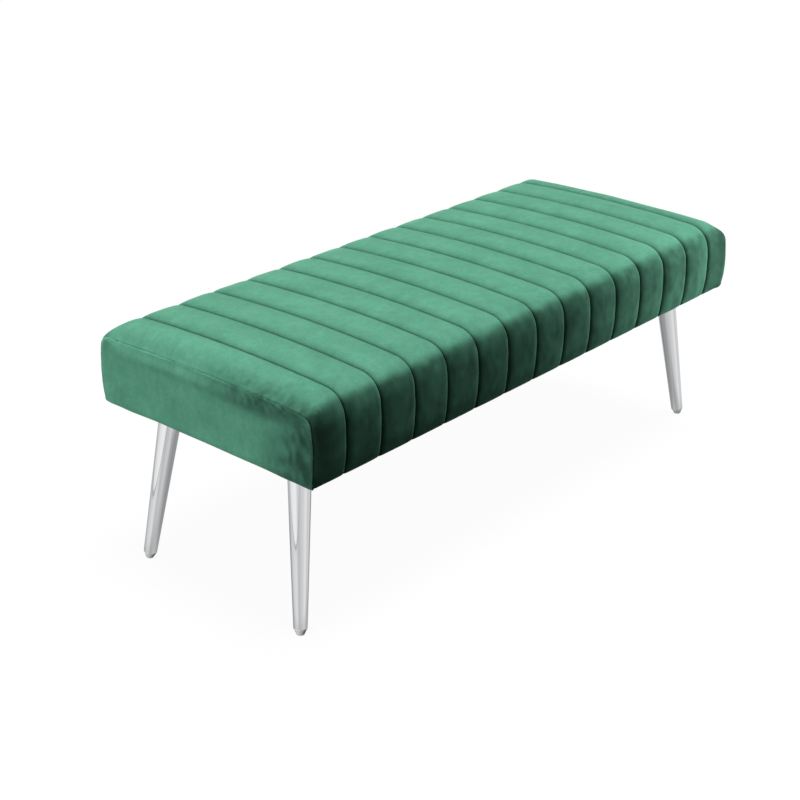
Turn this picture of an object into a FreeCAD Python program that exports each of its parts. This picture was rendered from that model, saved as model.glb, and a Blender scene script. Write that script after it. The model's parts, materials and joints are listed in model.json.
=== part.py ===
import FreeCAD, Part
import math
import os

# A channel-quilted velvet bench seat on four splayed tapered metal legs.
# Frame: the origin is on the floor under the middle of the seat, X runs along the seat,
# the front faces -Y and Z is up. All sizes are in millimetres.

# Sizes of the seat, measured over the stitched seams
seat_length = 1220.0
seat_depth = 503.0
seat_underside = 296.0
seat_thickness = 151.5

# How the seat's faces bow and roll
side_bulge_height = 64.0
side_bow_radius = 340.0
top_edge_radius = 44.0
crown_radius = 2950.0
end_bulge_height = 92.0
end_bow_radius = 675.0
end_edge_radius = 48.0
corner_radius = 8.0
sharp_below_radius = 2.0
corner_seam_step = 0.5
edge_crossing_lift = 0.15

# The rolled lower edge, as two flats from the underside up to the side faces
underside_margin = 15.0
toe_height = 1.5
toe_margin = 9.4
roll_height = 12.0
roll_overrun = 0.2

# Channels sewn across the seat
channel_count = 15
end_channel_width = 74.0
channel_rise = 3.0
seam_depth = 1.2
seam_half_width = 1.6

# Layers of the upholstery
cover_thickness = 2.0
fabric_thickness = 1.2
wadding_thickness = 5.0
border_foam_thickness = 12.0
turn_under = 30.0
end_panel_side_inset = 4.0
end_panel_top_inset = 22.0
end_panel_corner_radius = 30.0
end_panel_tuck = 1.0
wadding_toe_height = 10.0
dust_cover_thickness = 0.6
dust_cover_lap = 6.0
dust_cover_leg_gap = 2.0

# Wooden frame, inside the border foam
rail_thickness = 18.0
rail_height = 84.0
deck_thickness = 12.0
leg_board_thickness = 18.0
leg_board_width = 172.0
cross_rail_count = 2
corner_block_leg = 45.0
corner_block_gap = 6.5

# Legs
leg_top_to_end = 68.5
leg_top_to_side = 99.5
leg_splay_along = 40.5
leg_splay_across = 36.0
leg_top_radius = 20.5
leg_foot_radius = 12.0
leg_wall = 1.5
glide_height = 12.2
glide_base_radius = 6.5
glide_stem_length = 14.0
glide_clearance = 0.1
plate_size = 64.0
plate_thickness = 3.0
plate_corner_radius = 6.0
bolt_spacing = 44.0

# Bolts, tee nuts, screws and staples
bolt_radius = 3.0
bolt_length = 20.0
bolt_head_radius = 5.25
bolt_head_height = 3.3
bolt_head_flat_radius = 2.9
bolt_socket_radius = 2.3
bolt_socket_depth = 2.0
bolt_hole_clearance = 0.3
thread_clearance = 0.1
tee_nut_flange_radius = 9.0
tee_nut_flange_thickness = 1.5
tee_nut_barrel_radius = 4.0
tee_nut_barrel_length = 15.0
screw_radius = 2.0
screw_head_radius = 4.0
screw_head_height = 2.4
screw_point_length = 5.0
screw_point_radius = 0.3
screw_clearance = 0.1
frame_screw_length = 45.0
deck_screw_length = 32.0
screw_pair_spacing = 40.0
leg_board_screw_spacing = 90.0
deck_screw_end_margin = 85.0
deck_screw_count = 5
deck_end_screw_spacing = 220.0
staple_width = 12.0
staple_wire = 0.6
staple_leg_length = 8.0
staple_inset = 2.5
staple_count_long = 14
staple_count_short = 6

# Planes and lines that several pieces share
half_length = seat_length / 2
half_depth = seat_depth / 2
seam_top = seat_underside + seat_thickness
wadding_inner = cover_thickness + wadding_thickness
frame_half_length = half_length - wadding_inner - border_foam_thickness
frame_half_depth = half_depth - wadding_inner - border_foam_thickness
frame_underside = seat_underside + fabric_thickness
rail_top = frame_underside + rail_height
deck_top = rail_top + deck_thickness
rail_inner_x = frame_half_length - rail_thickness
rail_inner_y = frame_half_depth - rail_thickness
leg_board_top = frame_underside + leg_board_thickness
plate_underside = frame_underside - plate_thickness
opening_half_length = half_length - turn_under
opening_half_depth = half_depth - turn_under
leg_x = half_length - leg_top_to_end
leg_y = half_depth - leg_top_to_side
core_depth = corner_radius + 2.0
band_depth = core_depth + 4.0

# How far a cutting shape runs past what it cuts
overrun = 6.0

sides = {"left": -1, "right": 1}
faces = {"front": -1, "back": 1}


def vec(x, y, z):
    return FreeCAD.Vector(x, y, z)


def block(x0, x1, y0, y1, z0, z1):
    return Part.makeBox(x1 - x0, y1 - y0, z1 - z0, vec(x0, y0, z0))


def centred_block(half_x, half_y, z0, z1):
    return block(-half_x, half_x, -half_y, half_y, z0, z1)


def save(name, solids):
    shape = solids[0] if len(solids) == 1 else Part.makeCompound(solids)
    shape.exportStep(f"parts/{name}.step")
    print(name, len(shape.Solids), "solids", round(shape.Volume / 1000, 1), "cm3", shape.isValid())


# The bowed outline of the seat's cross-section: a side arc, a rolled top edge and the crown,
# each tangent to the next. An inset moves every line in by that much.
side_centre = (half_depth - side_bow_radius, seat_underside + side_bulge_height)
crown_centre = (0.0, seam_top - crown_radius)
end_centre = (half_length - end_bow_radius, seat_underside + end_bulge_height)


def circles_meet(a, radius_a, b, radius_b):
    """The crossing of two circles that lies furthest out."""
    gap = math.dist(a, b)
    along = (radius_a ** 2 - radius_b ** 2 + gap ** 2) / (2 * gap)
    across = math.sqrt(radius_a ** 2 - along ** 2)
    way = ((b[0] - a[0]) / gap, (b[1] - a[1]) / gap)
    foot = (a[0] + way[0] * along, a[1] + way[1] * along)
    crossings = [(foot[0] - s * way[1] * across, foot[1] + s * way[0] * across) for s in (-1, 1)]
    return max(crossings)


def on_circle(centre, radius, towards):
    reach = math.dist(centre, towards)
    return tuple(c + (t - c) * radius / reach for c, t in zip(centre, towards))


def at_height(centre, radius, height):
    return (centre[0] + math.sqrt(radius ** 2 - (height - centre[1]) ** 2), height)


def middle_of_arc(centre, radius, a, b):
    return on_circle(centre, radius, ((a[0] + b[0]) / 2, (a[1] + b[1]) / 2))


def cross_section_arcs(side_inset, top_inset, edge_radius, bottom):
    """The right half of the cross-section, bottom to crown, as (start, middle, end) points."""
    side_radius = side_bow_radius - side_inset
    top_radius = crown_radius - top_inset
    edge = circles_meet(side_centre, side_radius - edge_radius, crown_centre, top_radius - edge_radius)
    low = at_height(side_centre, side_radius, bottom)
    shoulder = on_circle(side_centre, side_radius, edge)
    brow = on_circle(crown_centre, top_radius, edge)
    crown = (0.0, crown_centre[1] + top_radius)
    return [
        (low, middle_of_arc(side_centre, side_radius, low, shoulder), shoulder),
        (shoulder, middle_of_arc(edge, edge_radius, shoulder, brow), brow),
        (brow, middle_of_arc(crown_centre, top_radius, brow, crown), crown),
    ]


def arc_edges(arcs, place):
    """Edges for the right half's arcs and for their mirror images, from right to left."""
    right = [Part.Arc(*[place(*p) for p in arc]).toShape() for arc in arcs]
    left = [Part.Arc(*[place(-p[0], p[1]) for p in reversed(arc)]).toShape() for arc in reversed(arcs)]
    return right + left


def cross_section_prism(side_inset, top_inset, edge_radius, bottom, x0, x1):
    arcs = cross_section_arcs(side_inset, top_inset, edge_radius, bottom)
    edges = arc_edges(arcs, lambda y, z: vec(x0, y, z))
    low = arcs[0][0]
    edges.append(Part.makeLine(vec(x0, -low[0], low[1]), vec(x0, low[0], low[1])))
    return Part.Face(Part.Wire(edges)).extrude(vec(x1 - x0, 0, 0))


def end_limit(inset, lift):
    """Everything between the two bowed ends, turned about the crown's axis."""
    side_radius = end_bow_radius - inset
    edge_radius = end_edge_radius - inset
    top = seam_top - inset + lift
    edge_z = top - edge_radius
    edge_x = at_height(end_centre, side_radius - edge_radius, edge_z)[0]
    edge = (edge_x, edge_z)
    low = at_height(end_centre, side_radius, seat_underside - overrun)
    shoulder = on_circle(end_centre, side_radius, edge)
    brow = (edge_x, top)
    ceiling = seam_top + 2 * overrun + channel_rise
    tilt = math.degrees(math.asin((half_depth + 2 * overrun) / (crown_radius - seat_thickness)))
    swing = math.radians(tilt)

    def place(x, z):
        reach = z - crown_centre[1]
        return vec(x, -reach * math.sin(swing), crown_centre[1] + reach * math.cos(swing))

    arcs = [
        (low, middle_of_arc(end_centre, side_radius, low, shoulder), shoulder),
        (shoulder, middle_of_arc(edge, edge_radius, shoulder, brow), brow),
    ]
    ends = arc_edges(arcs, place)
    over = Part.makePolygon([place(*p) for p in (brow, (edge_x, ceiling), (-edge_x, ceiling), (-edge_x, top))])
    under = Part.makeLine(place(-low[0], low[1]), place(*low))
    face = Part.Face(Part.Wire(ends[:2] + over.Edges + ends[2:] + [under]))
    return face.revolve(vec(0, 0, crown_centre[1]), vec(1, 0, 0), -2 * tilt)


def seam_places():
    """Where the seams cross the seat, from one end to the other."""
    pitch = (seat_length - 2 * end_channel_width) / (channel_count - 2)
    first = -half_length + end_channel_width
    return [first + k * pitch for k in range(channel_count - 1)]


def band_outline(inset, channels):
    """The band that runs over front, top and back, as (x, height) points; arcs have a middle point."""
    reach = half_length + corner_seam_step - inset
    roll = corner_radius - inset
    turn = roll * (1 - math.sqrt(0.5))
    shelf = seam_depth if channels else -inset
    first = -reach + roll
    lines = [((-reach, -band_depth), (-reach, shelf - roll))]
    lines.append(((-reach, shelf - roll), (-reach + turn, shelf - turn), (first, shelf)))
    at = (first, shelf)
    if channels:
        for seam in seam_places():
            edge = (seam - seam_half_width, shelf)
            lines.append((at, ((at[0] + edge[0]) / 2, channel_rise), edge))
            lines.append((edge, (seam, 0.0)))
            at = (seam + seam_half_width, shelf)
            lines.append(((seam, 0.0), at))
        lines.append((at, ((at[0] - first) / 2, channel_rise), (-first, shelf)))
    else:
        lines.append((at, (-first, shelf)))
    lines.append(((-first, shelf), (reach - turn, shelf - turn), (reach, shelf - roll)))
    lines.append(((reach, shelf - roll), (reach, -band_depth)))
    lines.append(((reach, -band_depth), (-reach, -band_depth)))
    return lines


def band(inset, channels):
    """The outline swept along the seat's cross-section, over the front, the top and the back."""
    arcs = cross_section_arcs(0.0, 0.0, top_edge_radius, seat_underside - overrun)
    path = Part.Wire(arc_edges(arcs, lambda y, z: vec(0, y, z)))
    low = arcs[0][0]
    out_y = (low[0] - side_centre[0]) / side_bow_radius
    out_z = (low[1] - side_centre[1]) / side_bow_radius

    def place(x, height):
        return vec(x, low[0] + out_y * height, low[1] + out_z * height)

    edges = []
    for points in band_outline(inset, channels):
        spots = [place(*p) for p in points]
        edges.append(Part.Arc(*spots).toShape() if len(spots) == 3 else Part.makeLine(*spots))
    return path.makePipe(Part.Face(Part.Wire(edges)))


def lower_limit(inset, bottom):
    """A tray with a rolled lower edge, open above it."""
    def ring(margin, height):
        x = half_length - inset - margin
        y = half_depth - inset - margin
        z = bottom + height
        return Part.makePolygon([vec(-x, -y, z), vec(x, -y, z), vec(x, y, z), vec(-x, y, z), vec(-x, -y, z)])

    rings = [ring(underside_margin, 0.0), ring(toe_margin, toe_height), ring(-roll_overrun, roll_height)]
    tray = Part.makeLoft(rings, True, True)
    wide = 2 * overrun + channel_rise
    above = centred_block(half_length + wide, half_depth + wide, bottom + roll_height, seam_top + 2 * wide)
    return tray.fuse(above)


def seat_form(inset, channels, bottom):
    """The seat's outer form moved in by an inset, whole down to its underside."""
    lift = edge_crossing_lift + (channel_rise if channels else 0.0)
    core_inset = core_depth if corner_radius - inset > sharp_below_radius else inset
    core_edge = top_edge_radius - core_inset
    reach = half_length + overrun
    form = cross_section_prism(core_inset, core_inset, core_edge, seat_underside - overrun, -reach, reach)
    if core_inset > inset:
        form = form.fuse(band(inset, channels))
    form = form.common(end_limit(inset, lift))
    return form.common(lower_limit(inset, bottom))


def end_panel_tool(side):
    """A bar along X with the outline of an end panel, from the turned-under edge outwards."""
    reach = half_length + 2 * overrun
    start = opening_half_length - end_panel_tuck
    x0 = start if side > 0 else -reach
    return cross_section_prism(
        end_panel_side_inset, end_panel_top_inset, end_panel_corner_radius,
        seat_underside - overrun, x0, x0 + reach - start)


def button_bolt(x, y):
    """A button-head bolt with a hexagon socket, head down, clamping the leg's plate."""
    head_top = plate_underside
    head_low = head_top - bolt_head_height
    rim = vec(bolt_head_radius, 0, head_top)
    flat = vec(bolt_head_flat_radius, 0, head_low)
    slope = math.sqrt(0.5)
    dome = vec(flat.x + slope * (rim.x - flat.x), 0, head_top - slope * bolt_head_height)
    low = vec(0, 0, head_low)
    top = vec(0, 0, head_top)
    profile = Part.Wire([
        Part.makeLine(top, rim), Part.Arc(rim, dome, flat).toShape(),
        Part.makeLine(flat, low), Part.makeLine(low, top)])
    head = Part.Face(profile).revolve(vec(0, 0, 0), vec(0, 0, 1), 360)
    corners = [(math.cos(math.radians(60 * k)), math.sin(math.radians(60 * k))) for k in range(7)]
    hexagon = [vec(bolt_socket_radius * c, bolt_socket_radius * s, head_low) for c, s in corners]
    socket = Part.Face(Part.makePolygon(hexagon)).extrude(vec(0, 0, bolt_socket_depth))
    shank = Part.makeCylinder(bolt_radius, bolt_length, vec(0, 0, head_top))
    bolt = head.fuse(shank).removeSplitter().cut(socket)
    bolt.translate(vec(x, y, 0))
    return bolt


def tee_nut(x, y):
    """A tee nut let down into the leg board, its flange on the board's upper face."""
    barrel_low = leg_board_top - tee_nut_barrel_length
    barrel = Part.makeCylinder(tee_nut_barrel_radius, tee_nut_barrel_length, vec(x, y, barrel_low))
    flange = Part.makeCylinder(tee_nut_flange_radius, tee_nut_flange_thickness, vec(x, y, leg_board_top))
    reach = tee_nut_barrel_length + tee_nut_flange_thickness
    bore = Part.makeCylinder(bolt_radius + thread_clearance, reach, vec(x, y, barrel_low))
    return barrel.fuse(flange).removeSplitter().cut(bore)


def screw(head, way, length, grow=0.0):
    """A countersunk wood screw from its head's face inwards; grown, it is its own hole."""
    way = vec(*way)
    head = vec(*head)
    shank_start = head + way * screw_head_height
    point_start = head + way * (length - screw_point_length)
    cone = Part.makeCone(screw_head_radius + grow, screw_radius + grow, screw_head_height, head, way)
    shank = Part.makeCylinder(screw_radius + grow, (point_start - shank_start).Length, shank_start, way)
    point_radius = screw_point_radius + grow
    point = Part.makeCone(screw_radius + grow, point_radius, screw_point_length + grow, point_start, way)
    return cone.fuse([shank, point]).removeSplitter()


def staple(x, y, crown_top, along_x):
    """A staple whose crown lies under the fabric and whose legs stand up in the rail."""
    half = staple_width / 2
    wire = staple_wire
    crown = block(-half, half, -wire / 2, wire / 2, crown_top - wire, crown_top)
    legs = [
        block(s * half - (s + 1) * wire / 2, s * half - (s - 1) * wire / 2, -wire / 2, wire / 2,
              crown_top - wire, crown_top + staple_leg_length)
        for s in (-1, 1)]
    shape = crown.fuse(legs).removeSplitter()
    if not along_x:
        shape.rotate(vec(0, 0, 0), vec(0, 0, 1), 90)
    shape.translate(vec(x, y, 0))
    return shape


def spread(count, reach):
    """Evenly spaced places from -reach to reach."""
    return [reach * (2 * k / (count - 1) - 1) for k in range(count)]


def staple_ring(line_x, line_y, crown_top):
    """Staples all round the underside on a line along each edge."""
    long_reach = line_x - staple_width
    short_reach = line_y - 2 * staple_width
    long_places = spread(staple_count_long, long_reach)
    short_places = spread(staple_count_short, short_reach)
    ring = [staple(x, s * line_y, crown_top, True) for s in (-1, 1) for x in long_places]
    ring += [staple(s * line_x, y, crown_top, False) for s in (-1, 1) for y in short_places]
    return ring


def bolt_places(side, face):
    """The four bolt centres of one leg."""
    half = bolt_spacing / 2
    return [(side * leg_x + i * half, face * leg_y + j * half) for i in (-1, 1) for j in (-1, 1)]


# Each leg's axis runs from the floor up and inwards to the underside of its plate
leg_rise = plate_underside
leg_length = math.sqrt(leg_splay_along ** 2 + leg_splay_across ** 2 + leg_rise ** 2)
leg_taper = (leg_top_radius - leg_foot_radius) / (leg_length - glide_height)


def leg_axis(side, face):
    foot = vec(side * (leg_x + leg_splay_along), face * (leg_y + leg_splay_across), 0)
    top = vec(side * leg_x, face * leg_y, plate_underside)
    return foot, (top - foot).normalize()


def leg_tube(side, face):
    """A tapered round tube, cut square at the foot and level under its plate."""
    foot, way = leg_axis(side, face)
    start = foot + way * glide_height
    height = leg_length - glide_height + 2 * overrun
    top_radius = leg_foot_radius + leg_taper * height
    tube = Part.makeCone(leg_foot_radius, top_radius, height, start, way)
    bore = Part.makeCone(leg_foot_radius - leg_wall, top_radius - leg_wall, height, start, way)
    above = centred_block(half_length, half_depth, plate_underside, plate_underside + 4 * overrun)
    return tube.cut(bore).cut(above)


def leg_glide(side, face):
    """A plastic foot: a stem pressed into the tube and a narrowing tip, flat on the floor."""
    foot, way = leg_axis(side, face)
    narrowing = (leg_foot_radius - glide_base_radius) / glide_height
    low = foot - way * overrun / 2
    low_radius = glide_base_radius - narrowing * overrun / 2
    tip = Part.makeCone(low_radius, leg_foot_radius, glide_height + overrun / 2, low, way)
    stem_radius = leg_foot_radius - leg_wall - glide_clearance
    stem = Part.makeCylinder(stem_radius, glide_stem_length, foot + way * glide_height, way)
    floor = centred_block(half_length + overrun, half_depth + overrun, -2 * overrun, 0.0)
    return tip.fuse(stem).removeSplitter().cut(floor)


def leg_plate(side, face):
    """The square plate welded on the tube, with a hole for each bolt."""
    half = plate_size / 2
    x = side * leg_x
    y = face * leg_y
    plate = block(x - half, x + half, y - half, y + half, plate_underside, frame_underside)
    upright = [e for e in plate.Edges if abs(e.tangentAt(e.FirstParameter).z) > 0.9]
    plate = plate.makeFillet(plate_corner_radius, upright)
    for hole_x, hole_y in bolt_places(side, face):
        hole = Part.makeCylinder(
            bolt_radius + bolt_hole_clearance, plate_thickness, vec(hole_x, hole_y, plate_underside))
        plate = plate.cut(hole)
    return plate


def leg_board(side):
    """The board that takes the legs' tee nuts, between the long rails at one end."""
    x = sorted((side * rail_inner_x, side * (rail_inner_x - leg_board_width)))
    board = block(x[0], x[1], -rail_inner_y, rail_inner_y, frame_underside, leg_board_top)
    for face in faces.values():
        for hole_x, hole_y in bolt_places(side, face):
            radius = tee_nut_barrel_radius + thread_clearance
            board = board.cut(Part.makeCylinder(radius, leg_board_thickness, vec(hole_x, hole_y, frame_underside)))
    return board


def corner_block(side, face):
    """A glued triangular block in the frame's corner, up against the deck."""
    x = side * rail_inner_x
    y = face * rail_inner_y
    z = leg_board_top + tee_nut_flange_thickness + corner_block_gap
    inner_x = x - side * corner_block_leg
    inner_y = y - face * corner_block_leg
    triangle = Part.makePolygon([vec(x, y, z), vec(inner_x, y, z), vec(x, inner_y, z), vec(x, y, z)])
    return Part.Face(triangle).extrude(vec(0, 0, rail_top - z))


def cross_rail_places():
    """Where the cross rails stand, evenly between the end rails."""
    bay = 2 * rail_inner_x / (cross_rail_count + 1)
    return [-rail_inner_x + (k + 1) * bay for k in range(cross_rail_count)]


def frame_screw_lines():
    """Head position and direction of each screw through the front and back rails."""
    middle = (leg_board_top + rail_top) / 2
    end_x = frame_half_length - rail_thickness / 2
    lines = []
    for face in faces.values():
        head_y = face * frame_half_depth
        for x in [-end_x] + cross_rail_places() + [end_x]:
            for z in (middle - screw_pair_spacing / 2, middle + screw_pair_spacing / 2):
                lines.append(((x, head_y, z), (0, -face, 0)))
        for side in sides.values():
            board_x = side * (rail_inner_x - leg_board_width / 2)
            for x in (board_x - leg_board_screw_spacing / 2, board_x + leg_board_screw_spacing / 2):
                lines.append(((x, head_y, frame_underside + leg_board_thickness / 2), (0, -face, 0)))
    return lines


def deck_screw_lines():
    """Head position and direction of each screw down through the deck into the rails."""
    long_line = frame_half_depth - rail_thickness / 2
    short_line = frame_half_length - rail_thickness / 2
    reach = frame_half_length - deck_screw_end_margin
    places = [(x, s * long_line) for s in (-1, 1) for x in spread(deck_screw_count, reach)]
    places += [(s * short_line, t * deck_end_screw_spacing / 2) for s in (-1, 1) for t in (-1, 1)]
    return [((x, y, deck_top), (0, 0, -1)) for x, y in places]


def build_legs():
    for face_name, face in faces.items():
        for side_name, side in sides.items():
            name = f"leg_{face_name}_{side_name}"
            save(f"{name}_tube", [leg_tube(side, face)])
            save(f"{name}_glide", [leg_glide(side, face)])
            save(f"{name}_plate", [leg_plate(side, face)])
            save(f"{name}_bolts", [button_bolt(x, y) for x, y in bolt_places(side, face)])
            save(f"{name}_tee_nuts", [tee_nut(x, y) for x, y in bolt_places(side, face)])


def build_frame(staples):
    frame_lines = frame_screw_lines()
    deck_lines = deck_screw_lines()
    holes = [screw(head, way, frame_screw_length, screw_clearance) for head, way in frame_lines]
    holes += [screw(head, way, deck_screw_length, screw_clearance) for head, way in deck_lines]
    save("frame_screws", [screw(head, way, frame_screw_length) for head, way in frame_lines])
    save("deck_screws", [screw(head, way, deck_screw_length) for head, way in deck_lines])

    def drilled(shape):
        near = [tool for tool in holes + staples if tool.BoundBox.intersect(shape.BoundBox)]
        return shape.cut(near) if near else shape

    for face_name, face in faces.items():
        y = sorted((face * rail_inner_y, face * frame_half_depth))
        rail = block(-frame_half_length, frame_half_length, y[0], y[1], frame_underside, rail_top)
        save(f"rail_{face_name}", [drilled(rail)])
        for side_name, side in sides.items():
            save(f"corner_block_{face_name}_{side_name}", [corner_block(side, face)])
    for side_name, side in sides.items():
        x = sorted((side * rail_inner_x, side * frame_half_length))
        rail = block(x[0], x[1], -rail_inner_y, rail_inner_y, frame_underside, rail_top)
        save(f"rail_{side_name}", [drilled(rail)])
        save(f"leg_board_{side_name}", [drilled(leg_board(side))])
    for number, middle in enumerate(cross_rail_places(), start=1):
        half = rail_thickness / 2
        rail = block(middle - half, middle + half, -rail_inner_y, rail_inner_y, frame_underside, rail_top)
        save(f"cross_rail_{number}", [drilled(rail)])
    deck = centred_block(frame_half_length, frame_half_depth, rail_top, deck_top)
    save("deck_board", [drilled(deck)])


def build_padding(padding_form, cover_inner):
    """The wadding over everything, the seat foam on the deck and four strips round the frame."""
    toe = frame_underside + wadding_toe_height
    wide = 4 * overrun
    above_toe = centred_block(half_length + wide, half_depth + wide, toe, seam_top + wide)
    filling = padding_form.common(above_toe)
    frame_block = centred_block(frame_half_length, frame_half_depth, frame_underside - overrun, deck_top)
    save("wadding_wrap", [cover_inner.cut(filling).cut(frame_block)])
    above_deck = centred_block(half_length + wide, half_depth + wide, deck_top, seam_top + wide)
    save("seat_foam", [filling.common(above_deck)])
    border = filling.cut(above_deck).cut(frame_block)
    for face_name, face in faces.items():
        y = sorted((face * frame_half_depth, face * (half_depth + wide)))
        strip = block(-half_length - wide, half_length + wide, y[0], y[1], frame_underside, seam_top)
        save(f"border_foam_{face_name}", [border.common(strip)])
    for side_name, side in sides.items():
        x = sorted((side * frame_half_length, side * (half_length + wide)))
        strip = block(x[0], x[1], -frame_half_depth, frame_half_depth, frame_underside, seam_top)
        save(f"border_foam_{side_name}", [border.common(strip)])


def build_cover(outer, inner, staples):
    opening = centred_block(
        opening_half_length, opening_half_depth, seat_underside - overrun, frame_underside + overrun)
    cover = outer.cut([inner, opening] + staples)
    tools = {name: end_panel_tool(side) for name, side in sides.items()}
    for name, tool in tools.items():
        save(f"end_panel_{name}", [cover.common(tool)])
    save("quilted_cover", [cover.cut(list(tools.values()))])


def build_dust_cover(staples):
    """A thin sheet over the open underside, lapped on the turned-under fabric, cut out at each leg."""
    low = seat_underside - dust_cover_thickness
    sheet = centred_block(
        opening_half_length + dust_cover_lap, opening_half_depth + dust_cover_lap, low, seat_underside)
    half = plate_size / 2 + dust_cover_leg_gap
    for face in faces.values():
        for side in sides.values():
            x = side * leg_x
            y = face * leg_y
            sheet = sheet.cut(block(x - half, x + half, y - half, y + half, low, seat_underside))
    save("dust_cover", [sheet.cut(staples)])


os.makedirs("parts", exist_ok=True)
outer_form = seat_form(0.0, True, seat_underside)
cover_inner = seat_form(cover_thickness, False, frame_underside)
padding_form = seat_form(wadding_inner, False, frame_underside)
cover_staples = staple_ring(
    opening_half_length + dust_cover_lap + staple_inset + staple_wire,
    opening_half_depth + dust_cover_lap + staple_inset + staple_wire, seat_underside)
dust_staples = staple_ring(
    opening_half_length + dust_cover_lap - staple_inset,
    opening_half_depth + dust_cover_lap - staple_inset, seat_underside - dust_cover_thickness)
build_legs()
build_frame(cover_staples + dust_staples)
build_padding(padding_form, cover_inner)
build_cover(outer_form, cover_inner, cover_staples + dust_staples)
build_dust_cover(dust_staples)
save("cover_staples", cover_staples)
save("dust_cover_staples", dust_staples)
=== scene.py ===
# %% [markdown]
# # A channel-quilted velvet bench on chrome legs
# The bench is a long padded seat. Its velvet cover runs over the front, the top and the back,
# and is sewn in channels across the seat; a plain velvet panel closes each end. Four splayed,
# tapered tubes of chromed steel carry it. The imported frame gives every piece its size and
# place, so each mesh below is worked out from the frame's boxes and stays in its metres.

# %% Load the frame
import json
import math

import bpy
import numpy as np
from mathutils import Matrix, Vector, noise


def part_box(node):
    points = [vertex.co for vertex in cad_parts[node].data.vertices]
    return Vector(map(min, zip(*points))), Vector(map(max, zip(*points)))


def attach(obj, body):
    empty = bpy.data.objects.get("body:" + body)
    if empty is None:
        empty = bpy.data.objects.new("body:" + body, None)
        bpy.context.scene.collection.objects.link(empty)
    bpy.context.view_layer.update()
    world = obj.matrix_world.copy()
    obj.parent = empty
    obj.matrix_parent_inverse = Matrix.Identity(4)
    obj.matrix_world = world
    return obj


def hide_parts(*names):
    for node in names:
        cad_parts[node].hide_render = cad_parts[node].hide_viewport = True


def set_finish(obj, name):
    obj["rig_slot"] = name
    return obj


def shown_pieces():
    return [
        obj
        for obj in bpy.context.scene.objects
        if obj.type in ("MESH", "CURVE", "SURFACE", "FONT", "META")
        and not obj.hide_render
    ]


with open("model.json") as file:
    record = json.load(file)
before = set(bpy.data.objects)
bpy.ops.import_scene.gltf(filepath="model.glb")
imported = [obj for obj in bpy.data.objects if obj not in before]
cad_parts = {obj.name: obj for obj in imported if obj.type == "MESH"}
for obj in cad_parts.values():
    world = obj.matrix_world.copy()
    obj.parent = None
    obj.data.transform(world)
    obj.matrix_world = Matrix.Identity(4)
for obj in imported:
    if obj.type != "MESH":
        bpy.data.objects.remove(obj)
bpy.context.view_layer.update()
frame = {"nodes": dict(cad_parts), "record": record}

mm = 0.001
cover_low, cover_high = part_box("quilted_cover")
print("cover from", [round(v, 4) for v in cover_low], "to", [round(v, 4) for v in cover_high])

# %% [markdown]
# ## The seat's bowed cross-section
# A padded seat is nowhere flat: the front bows out, the top edge rolls over and the top is
# slightly crowned. A chain of arcs, each tangent to the next, describes that with few numbers
# and gives an exact normal everywhere, which the channels need to stand out from it.

# %% Sizes of the seat
channel_rise = 3.0 * mm
side_bow = 340.0 * mm
side_bulge_height = 64.0 * mm
edge_roll = 44.0 * mm
crown_bow = 2950.0 * mm
underside_roll = 11.0 * mm
end_bow = 675.0 * mm
end_bulge_height = 92.0 * mm
end_roll = 48.0 * mm
corner_roll = 4.5 * mm
corner_widening = 8.0 * mm
turn_under = 30.0 * mm

half_length = cover_high.x
half_depth = cover_high.y - channel_rise
seam_top = cover_high.z - channel_rise
underside = cover_low.z
side_centre = Vector((half_depth - side_bow, underside + side_bulge_height))
crown_centre = Vector((0.0, seam_top - crown_bow))


# %% Join the arcs
def circles_meet(a, radius_a, b, radius_b):
    """The crossing of two circles that lies further out."""
    way = b - a
    along = (radius_a ** 2 - radius_b ** 2 + way.length_squared) / (2 * way.length)
    across = math.sqrt(radius_a ** 2 - along ** 2)
    middle = a + way.normalized() * along
    aside = Vector((-way.y, way.x)).normalized() * across
    return max(middle + aside, middle - aside, key=lambda p: p.x)


def lean(a, b):
    """The angle of the line from a to b above the horizontal."""
    return math.atan2(b.y - a.y, b.x - a.x)


edge_centre = circles_meet(side_centre, side_bow - edge_roll, crown_centre, crown_bow - edge_roll)
turn_height = underside + underside_roll
turn_reach = math.sqrt((side_bow - underside_roll) ** 2 - (turn_height - side_centre.y) ** 2)
turn_centre = Vector((side_centre.x + turn_reach, turn_height))
brow = lean(crown_centre, edge_centre)
shoulder = lean(side_centre, edge_centre)
hem = lean(side_centre, turn_centre)
half_arcs = [
    (crown_centre, crown_bow, math.pi / 2, brow, 8.0 * mm),
    (edge_centre, edge_roll, brow, shoulder, 4.0 * mm),
    (side_centre, side_bow, shoulder, hem, 6.0 * mm),
    (turn_centre, underside_roll, hem, -math.pi / 2, 2.5 * mm),
]


def cross_section():
    """Points (y, z) and facing angles, from the front's turned-under edge over the top to the back's."""
    points = []
    angles = []
    for centre, radius, start, stop, step in half_arcs:
        count = max(3, math.ceil(radius * (start - stop) / step))
        for k in range(1 if points else 0, count + 1):
            angle = start + (stop - start) * k / count
            points.append(centre + radius * Vector((math.cos(angle), math.sin(angle))))
            angles.append(angle)
    inner = half_depth - turn_under
    reached = points[-1].x
    for share in (0.25, 0.5, 0.75, 1.0):
        points.append(Vector((reached + (inner - reached) * share, underside)))
        angles.append(-math.pi / 2)
    back = np.array([p[:] for p in points])
    turn = np.array(angles)
    return np.vstack([back[:0:-1] * (-1, 1), back]), np.concatenate([math.pi - turn[:0:-1], turn])


section, section_angle = cross_section()
section_normal = np.column_stack([np.cos(section_angle), np.sin(section_angle)])
print("cross-section of", len(section), "points")

# %% [markdown]
# ## How the ends roll over
# At each end the cover turns the corner and is sewn to the end panel. Along the top that
# corner is a broad roll, and down the front and back it is tight, so the roll's radius is
# blended by which way the cross-section faces. Cover and panel share the functions below,
# so their edges meet along one seam.

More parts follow.
